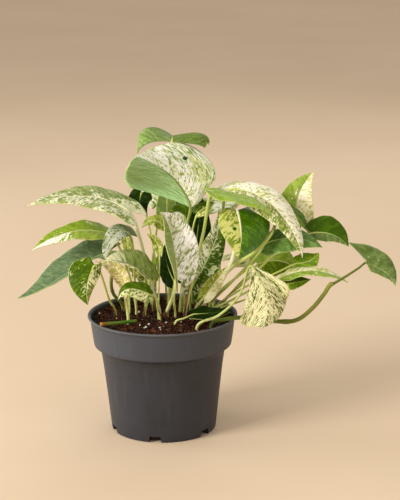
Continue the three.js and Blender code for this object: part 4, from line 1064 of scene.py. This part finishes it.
# %% Vines
SWELL, SWELL_WIDTH = 0.22, 0.02
VINE = stalk_material("ribbed_green_vine", 2.2, 0.5)
VINES = [
    dict(name="vine_right", root=(50, -38), thick=2.1, tones=("#4b601c", "#5f6b1f", "#777b2b", "#8d9038"),
         points=[(62, -38, 124), (82, -35, 125), (112, -32, 120), (134, -32, 121), (150, -31, 133),
                 (162, -30, 148), (167, -30, 156), (170.5, -30, 158.3)], knots=(0.5, 0.93)),
    dict(name="stem_left_stub", root=(-42, 30), thick=1.8, tones=("#8f9a55", "#76863a", "#8f9a4a"),
         points=[(-50, 20, 134), (-52, 8, 148), (-50, -2, 166)], knots=(0.6,)),
    dict(name="cut_stem_front", thick=1.9, tones=("#6f8c2c", "#4f7a1e", "#6f8f30", "#7a8c30", "#a0682a"),
         points=[(-26, -22, 118.4), (-44, -34, 120), (-60, -46, 122.6)], knots=(0.35,)),
]
for vine in VINES:
    points = [*root_points(vine), *vine["points"]]

    def radius_at(t, vine=vine):
        swell = sum(SWELL * math.exp(-((t - knot) / SWELL_WIDTH) ** 2) for knot in vine["knots"])
        return vine["thick"] * (1 + swell)

    tube = rolled_tube(Route(points), rings=12 * (len(points) - 1), sides=14, radius_at=radius_at,
                       tones=vine["tones"], groove=0.12)
    choose(tube)
    bpy.ops.object.shade_smooth()
    settle(tube, vine["name"] + "_living", VINE, "stem", vine["name"])
print("vines:", [vine["name"] for vine in VINES])

# %% [markdown]
# Each stalk leaves its stem through a sheath, which dries to a brown papery blade that clasps the foot. About
# three in four of the stalks have one, apart from those at the back. It is the same rolled tube, short, loose
# and drawn out to a point. It stands a little in front of its stalk, to the right or the left by turns, and
# leans away from it as it rises.

# %% Dry sheaths
SHEATH = stalk_material("papery_dry_sheath", 0.9, 0.7)
SHEATH_TONES = (("#4c2814", "#7a4f26", "#a07c42"), ("#6f6a2c", "#9c8f48", "#a06a34"))
BACK_STALKS = 30
SHEATH_ASIDE, SHEATH_AHEAD = 0.495, 0.5
SHEATH_RADIUS, SHEATH_TIP = 0.95, 0.12
sheaths = []
for number, leaf in enumerate(LEAVES):
    if "root" not in leaf or leaf["root"][1] > BACK_STALKS or number % 4 == 3:
        continue
    thick = leaf["thick"]
    stalk = Route([*root_points(leaf), *leaf["stalk"]])
    side = (SHEATH_ASIDE if number % 2 else -SHEATH_ASIDE) * thick
    collar = 1 / (1 + len(leaf["stalk"]))
    height = collar + (0.16 + 0.04 * (number % 3)) * (1.5 if len(leaf["stalk"]) > 1 else 1)
    points = [stalk.at(t) + Vector((side * (0.6 + t), -SHEATH_AHEAD * thick, 0)) for t in (
        collar * 0.8, collar, (collar + height) / 2, height)]

    def radius_at(t, thick=thick):
        return thick * (SHEATH_RADIUS * (1 - t) ** 0.7) + SHEATH_TIP

    sheaths.append(rolled_tube(Route(points), rings=12, sides=8, radius_at=radius_at,
                               tones=SHEATH_TONES[number % 2], groove=0.45, flatten=0.35))
whole = join(sheaths)
bpy.ops.object.shade_smooth()
settle(whole, "dry_sheaths", SHEATH, "stem")
print("sheaths:", len(sheaths))

# %% [markdown]
# ## The pot
# A thermoformed nursery pot: one thin wall of dark recycled plastic with a rolled lip, a wide band below it
# and a step under the band. A circle is drawn at the foot and extruded up the outside, over the lip and down
# the inside, ring by ring, as the mould would do it.

# %% Pot
POT_SIDES = 144
POT_PROFILE = [
    (52.3, 0), (53.2, 0.35), (53.5, 1.2), (54.1, 6), (57.4, 38), (60.6, 66), (62.3, 78), (62.9, 81.5),
    (63.6, 83.8), (64.7, 85.6), (66.2, 87.2), (67.8, 88.4), (69.5, 89.5), (69.9, 89.9), (70.05, 90.5),
    (71.6, 101), (73.2, 114), (73.7, 116.4), (74.6, 117.4), (75.7, 118.1), (76.0, 118.8), (75.9, 119.5),
    (75.3, 119.9), (74.4, 120), (73.5, 119.7), (72.7, 118.6), (72.1, 116.6), (70.4, 104), (68.6, 91.4),
    (62.6, 86.4), (61.2, 82), (52.3, 2.6),
]


def turned_body(profile, sides):
    """A body of revolution, extruded ring by ring from a circle at its first radius."""
    deselect_everything()
    radius, height = profile[0]
    bpy.ops.mesh.primitive_circle_add(vertices=sides, radius=radius * MM, location=(0, 0, height * MM))
    body = bpy.context.object
    bpy.ops.object.transform_apply(location=True)
    bpy.ops.object.mode_set(mode="EDIT")
    bpy.ops.mesh.select_all(action="SELECT")
    for next_radius, next_height in profile[1:]:
        bpy.ops.mesh.extrude_region_move(
            TRANSFORM_OT_translate={"value": (0, 0, (next_height - height) * MM)})
        share = next_radius / radius
        bpy.ops.transform.resize(value=(share, share, 1), center_override=(0, 0, next_height * MM))
        radius, height = next_radius, next_height
    select_open_edges()
    bpy.ops.mesh.fill_holes(sides=0)
    face_outwards()
    return body


pot = turned_body(POT_PROFILE, POT_SIDES)
print("pot faces:", len(pot.data.polygons))

# %% [markdown]
# Six notches round the foot let water out. Each is a small wedge-shaped block, wider below, which the Boolean
# modifier cuts from the wall.

# %% Drainage notches
NOTCHES = 6
FIRST_NOTCH = -98.5
NOTCH_REACH = 9
NOTCH_TOP, NOTCH_BOTTOM = 6.5, -3
HALF_WIDTH_ABOVE, HALF_WIDTH_BELOW = 5.5, 6.4
FOOT_RADIUS = 53.5
for index in range(NOTCHES):
    deselect_everything()
    angle = math.radians(FIRST_NOTCH + 360 / NOTCHES * index)
    bpy.ops.mesh.primitive_cube_add(size=1.0, location=(0, 0, 0))
    cutter = bpy.context.object
    for corner in cutter.data.vertices:
        x, y, z = corner.co
        half = HALF_WIDTH_ABOVE if z > 0 else HALF_WIDTH_BELOW
        corner.co = Vector((math.copysign(NOTCH_REACH, x), math.copysign(half, y),
                            NOTCH_TOP if z > 0 else NOTCH_BOTTOM)) * MM
    cutter.data.transform(Matrix.Rotation(angle, 4, "Z") @ Matrix.Translation((FOOT_RADIUS * MM, 0, 0)))
    notch = pot.modifiers.new("notch", "BOOLEAN")
    notch.operation = "DIFFERENCE"
    notch.object = cutter
    notch.solver = "EXACT"
    choose(pot)
    bpy.ops.object.modifier_apply(modifier=notch.name)
    bpy.data.objects.remove(cutter)
bpy.ops.object.shade_smooth_by_angle(angle=math.radians(38))
print("pot faces with the notches:", len(pot.data.polygons))

# %% [markdown]
# The plastic is polypropylene with carbon black: grey-black, matte, with a fine moulded grain and faint
# upright scuffs from stacking. The band is where it is picked up, so it is a little lighter. The lip is
# lighter still in soft patches, partly from wear and partly as a painted highlight along its top. Dust and
# splashes of potting mix dull it in soft patches.

# %% Pot material
material, tree, shader = new_material("moulded_grey_polypropylene")
place = node(tree, "TexCoord").outputs["Object"]
height = node(tree, "SeparateXYZ", [place]).outputs["Z"]
upright = node(tree, "VectorMath", [place, (180.0, 180.0, 14.0)], operation="MULTIPLY")
scuff = node(tree, "TexNoise", {"Vector": upright, "Scale": 1.0, "Detail": 4.0})
cloud = node(tree, "TexNoise", {"Vector": place, "Scale": 28.0, "Detail": 5.0, "Roughness": 0.6})
dusty = node(tree, "MapRange", {"Value": cloud, "From Min": 0.42, "From Max": 0.72})
scuffed = node(tree, "MapRange", {"Value": scuff, "From Min": 0.55, "From Max": 0.8})
band = node(tree, "MapRange", {"Value": height, "From Min": 0.0895, "From Max": 0.0912, "To Max": 0.34})
lip = node(tree, "MapRange", {"Value": height, "From Min": 0.1176, "From Max": 0.1198})
# the lip's lighter patches: partly wear, partly a painted highlight on its top
lip_wear_and_highlight = node(tree, "Math", [lip, cloud], operation="MULTIPLY")
body = linear("#1f2128")
for share, colour in ((dusty, "#292a32"), (scuffed, "#2e3037"), (band, "#50555f"), (lip_wear_and_highlight, "#6c6e72")):
    body = node(tree, "Mix", [share, body, linear(colour)], data_type="RGBA")
grain = node(tree, "TexNoise", {"Vector": place, "Scale": 900.0, "Detail": 3.0})
fill(tree, shader, {
    "Base Color": body,
    "Roughness": node(tree, "MapRange", {"Value": cloud, "To Min": 0.44, "To Max": 0.62}),
    "Normal": node(tree, "Bump", {"Height": grain, "Strength": 0.25, "Distance": 0.0003})})
settle(pot, "pot_moulded", material, "pot_plastic", "pot")
print("pot done")

# %% [markdown]
# ## The soil
# Damp potting mix of shredded bark and peat, with white grains of perlite. The bed is a grid pulled into a
# disc and roughened by noise. Its rim is extruded down the inside of the pot in three steps and closed at
# the foot. The chips, crumbs and grains lie on it as small meshes of their own.

# %% Soil bed
BED_RADIUS = 71.0
BED_CELLS = 130
MOUND_HEIGHT, MOUND_RADIUS = 3, 76
LUMPS = 0.7
COARSE, FINE = 1.1, 0.8
BANK_HEIGHT, BANK_FROM, BANK_WIDTH = 3.0, 58, 11
BED_STEPS = ((92, 0.955), (86, 0.911), (4, 0.835))


def soil_height(x, y):
    """The height of the bed in mm: a low mound with soft lumps."""
    mound = MOUND_HEIGHT * (1 - (x * x + y * y) / MOUND_RADIUS ** 2)
    return SOIL_LEVEL + mound + LUMPS * (math.sin(x * 0.31 + y * 0.13) + math.cos(y * 0.37 - x * 0.11))


def bed_height(x, y):
    """The same bed with the roughness of crumbs, banked up a little against the wall."""
    coarse = noise.noise(Vector((x, y, 3.0)) * 0.28) * COARSE
    fine = noise.noise(Vector((x, y, 9.0)) * 0.8) * FINE
    banked = min(max((math.hypot(x, y) - BANK_FROM) / BANK_WIDTH, 0), 1)
    return soil_height(x, y) + coarse + fine + BANK_HEIGHT * banked ** 2 * (3 - 2 * banked)


def bed_place(along, across):
    """Turns the square grid into a disc."""
    a, b = 2 * along - 1, 2 * across - 1
    x = BED_RADIUS * a * math.sqrt(1 - b * b / 2)
    y = BED_RADIUS * b * math.sqrt(1 - a * a / 2)
    return x, y, bed_height(x, y)


bed = shaped_grid(BED_CELLS, BED_CELLS, bed_place)
choose(bed)
bpy.ops.object.mode_set(mode="EDIT")
select_open_edges()
for next_height, share in BED_STEPS:
    bpy.ops.mesh.extrude_region_move()
    bpy.ops.transform.resize(value=(share, share, 0), center_override=(0, 0, next_height * MM))
bpy.ops.mesh.edge_face_add()
face_outwards()
bpy.ops.object.shade_smooth()
print("soil bed faces:", len(bed.data.polygons))

# %% Soil material


def crumb_material(name, dark, mid, light, grain_mm, rough):
    """Earthy stuff: three tones mixed by grains of a real size."""
    material, tree, shader = new_material(name)
    place = node(tree, "TexCoord").outputs["Object"]
    grains = node(tree, "TexNoise", {"Vector": place, "Scale": 1 / (grain_mm * MM), "Detail": 4.0,
                                     "Roughness": 0.65})
    tones = node(tree, "ValToRGB", [grains])
    tones.color_ramp.elements[0].position = 0.38
    tones.color_ramp.elements[0].color = linear(dark)
    tones.color_ramp.elements[1].position = 0.68
    tones.color_ramp.elements[1].color = linear(light)
    tones.color_ramp.elements.new(0.52).color = linear(mid)
    fill(tree, shader, {
        "Base Color": tones, "Roughness": rough, "Specular IOR Level": 0.2,
        "Normal": node(tree, "Bump", {"Height": grains, "Strength": 0.6, "Distance": 0.0008})})
    return material


peat = crumb_material("damp_peat", "#080301", "#220e06", "#4c2a18", 3.2, 0.95)
settle(bed, "soil_bed", peat, "soil", "soil")
print("soil bed done")

# %% [markdown]
# A chip of bark is a small block with its corners knocked about. A few chips, crumbs and grains are made once
# each, and every other one is a copy with its own mesh, turned and sized by a seeded draw, so the bed looks
# the same each time.

# %% Scatter helpers
draw = random.Random(7)


def rough_block(size, jitter, rounding):
    """A small block whose corners are moved at random, with its edges rounded."""
    deselect_everything()
    bpy.ops.mesh.primitive_cube_add(size=1.0)
    block = bpy.context.object
    bpy.ops.object.mode_set(mode="EDIT")
    bpy.ops.mesh.select_all(action="SELECT")
    bpy.ops.mesh.bevel(offset=rounding, segments=1)
    bpy.ops.object.mode_set(mode="OBJECT")
    for corner in block.data.vertices:
        knocked = [c * s * (1 + draw.uniform(-jitter, jitter)) for c, s in zip(corner.co, size)]
        corner.co = Vector(knocked) * MM
    return block


def scatter(name, shapes, spots, material):
    """Copies the shapes to the spots, each (x, y, z, scale, tilt), and joins them into one piece."""
    copies = []
    for x, y, z, scale, tilt in spots:
        source = draw.choice(shapes)
        copy = bpy.data.objects.new(name, source.data.copy())
        bpy.context.scene.collection.objects.link(copy)
        turned = Matrix.Rotation(draw.uniform(0, 2 * math.pi), 4, "Z") @ Matrix.Rotation(
            draw.uniform(-tilt, tilt), 4, "Y") @ Matrix.Rotation(draw.uniform(-tilt, tilt), 4, "X")
        copy.data.transform(Matrix.Translation(Vector((x, y, z)) * MM) @ turned @ Matrix.Scale(scale, 4))
        copies.append(copy)
    whole = join(copies)
    for source in shapes:
        bpy.data.objects.remove(source)
    settle(whole, name, material, "soil")
    print(name, len(spots))


def bed_spot(margin):
    """A random place on the bed, in mm."""
    angle, radius = draw.uniform(0, 2 * math.pi), (BED_RADIUS - margin) * math.sqrt(draw.random())
    x, y = radius * math.cos(angle), radius * math.sin(angle)
    return x, y, bed_height(x, y)


# %% Bark, crumbs and perlite
CHIPS, CRUMBS, GRAINS = 620, 1500, 45
PLACED_GRAINS = ((-10.5, -10.9, 1.3), (-1.8, -37.5, 1.9), (3.8, -19.4, 1.2), (-22.0, -29.5, 1.2),
                 (-13.1, -26.3, 1.0), (-15.7, -40.3, 1.0), (35.4, -34.4, 1.3), (37.9, -30.9, 1.2))
chips = [rough_block((6.5, 2.4, 1.1), 0.3, 0.12), rough_block((4.2, 2.8, 1.4), 0.35, 0.12),
         rough_block((8.5, 1.3, 1.0), 0.25, 0.1)]
spots = [(*bed_spot(4), draw.uniform(0.5, 1.15), 0.5) for _ in range(CHIPS)]
bark = crumb_material("shredded_bark", "#160804", "#4a2212", "#9a6238", 3.6, 0.9)
scatter("bark_chips", chips, spots, bark)
crumbs = [rough_block((2.0, 1.6, 1.4), 0.35, 0.15), rough_block((2.8, 1.2, 1.0), 0.35, 0.15)]
spots = [(*bed_spot(2), draw.uniform(0.5, 1.3), 1.2) for _ in range(CRUMBS)]
crumb = crumb_material("peat_crumb", "#0c0402", "#361a0c", "#74482a", 2.4, 0.95)
scatter("peat_crumbs", crumbs, spots, crumb)
grains = [rough_block((2.2, 2.0, 1.8), 0.25, 0.28), rough_block((1.5, 1.4, 1.2), 0.25, 0.28)]
spots = [(*bed_spot(5), draw.uniform(0.5, 1.1), 1.5) for _ in range(GRAINS)]
spots += [(x, y, bed_height(x, y) + 0.8, scale, 0.6) for x, y, scale in PLACED_GRAINS]
white = crumb_material("white_perlite", "#b9b2a4", "#e6e1d6", "#fbf8f0", 1.2, 0.7)
scatter("perlite_grains", grains, spots, white)
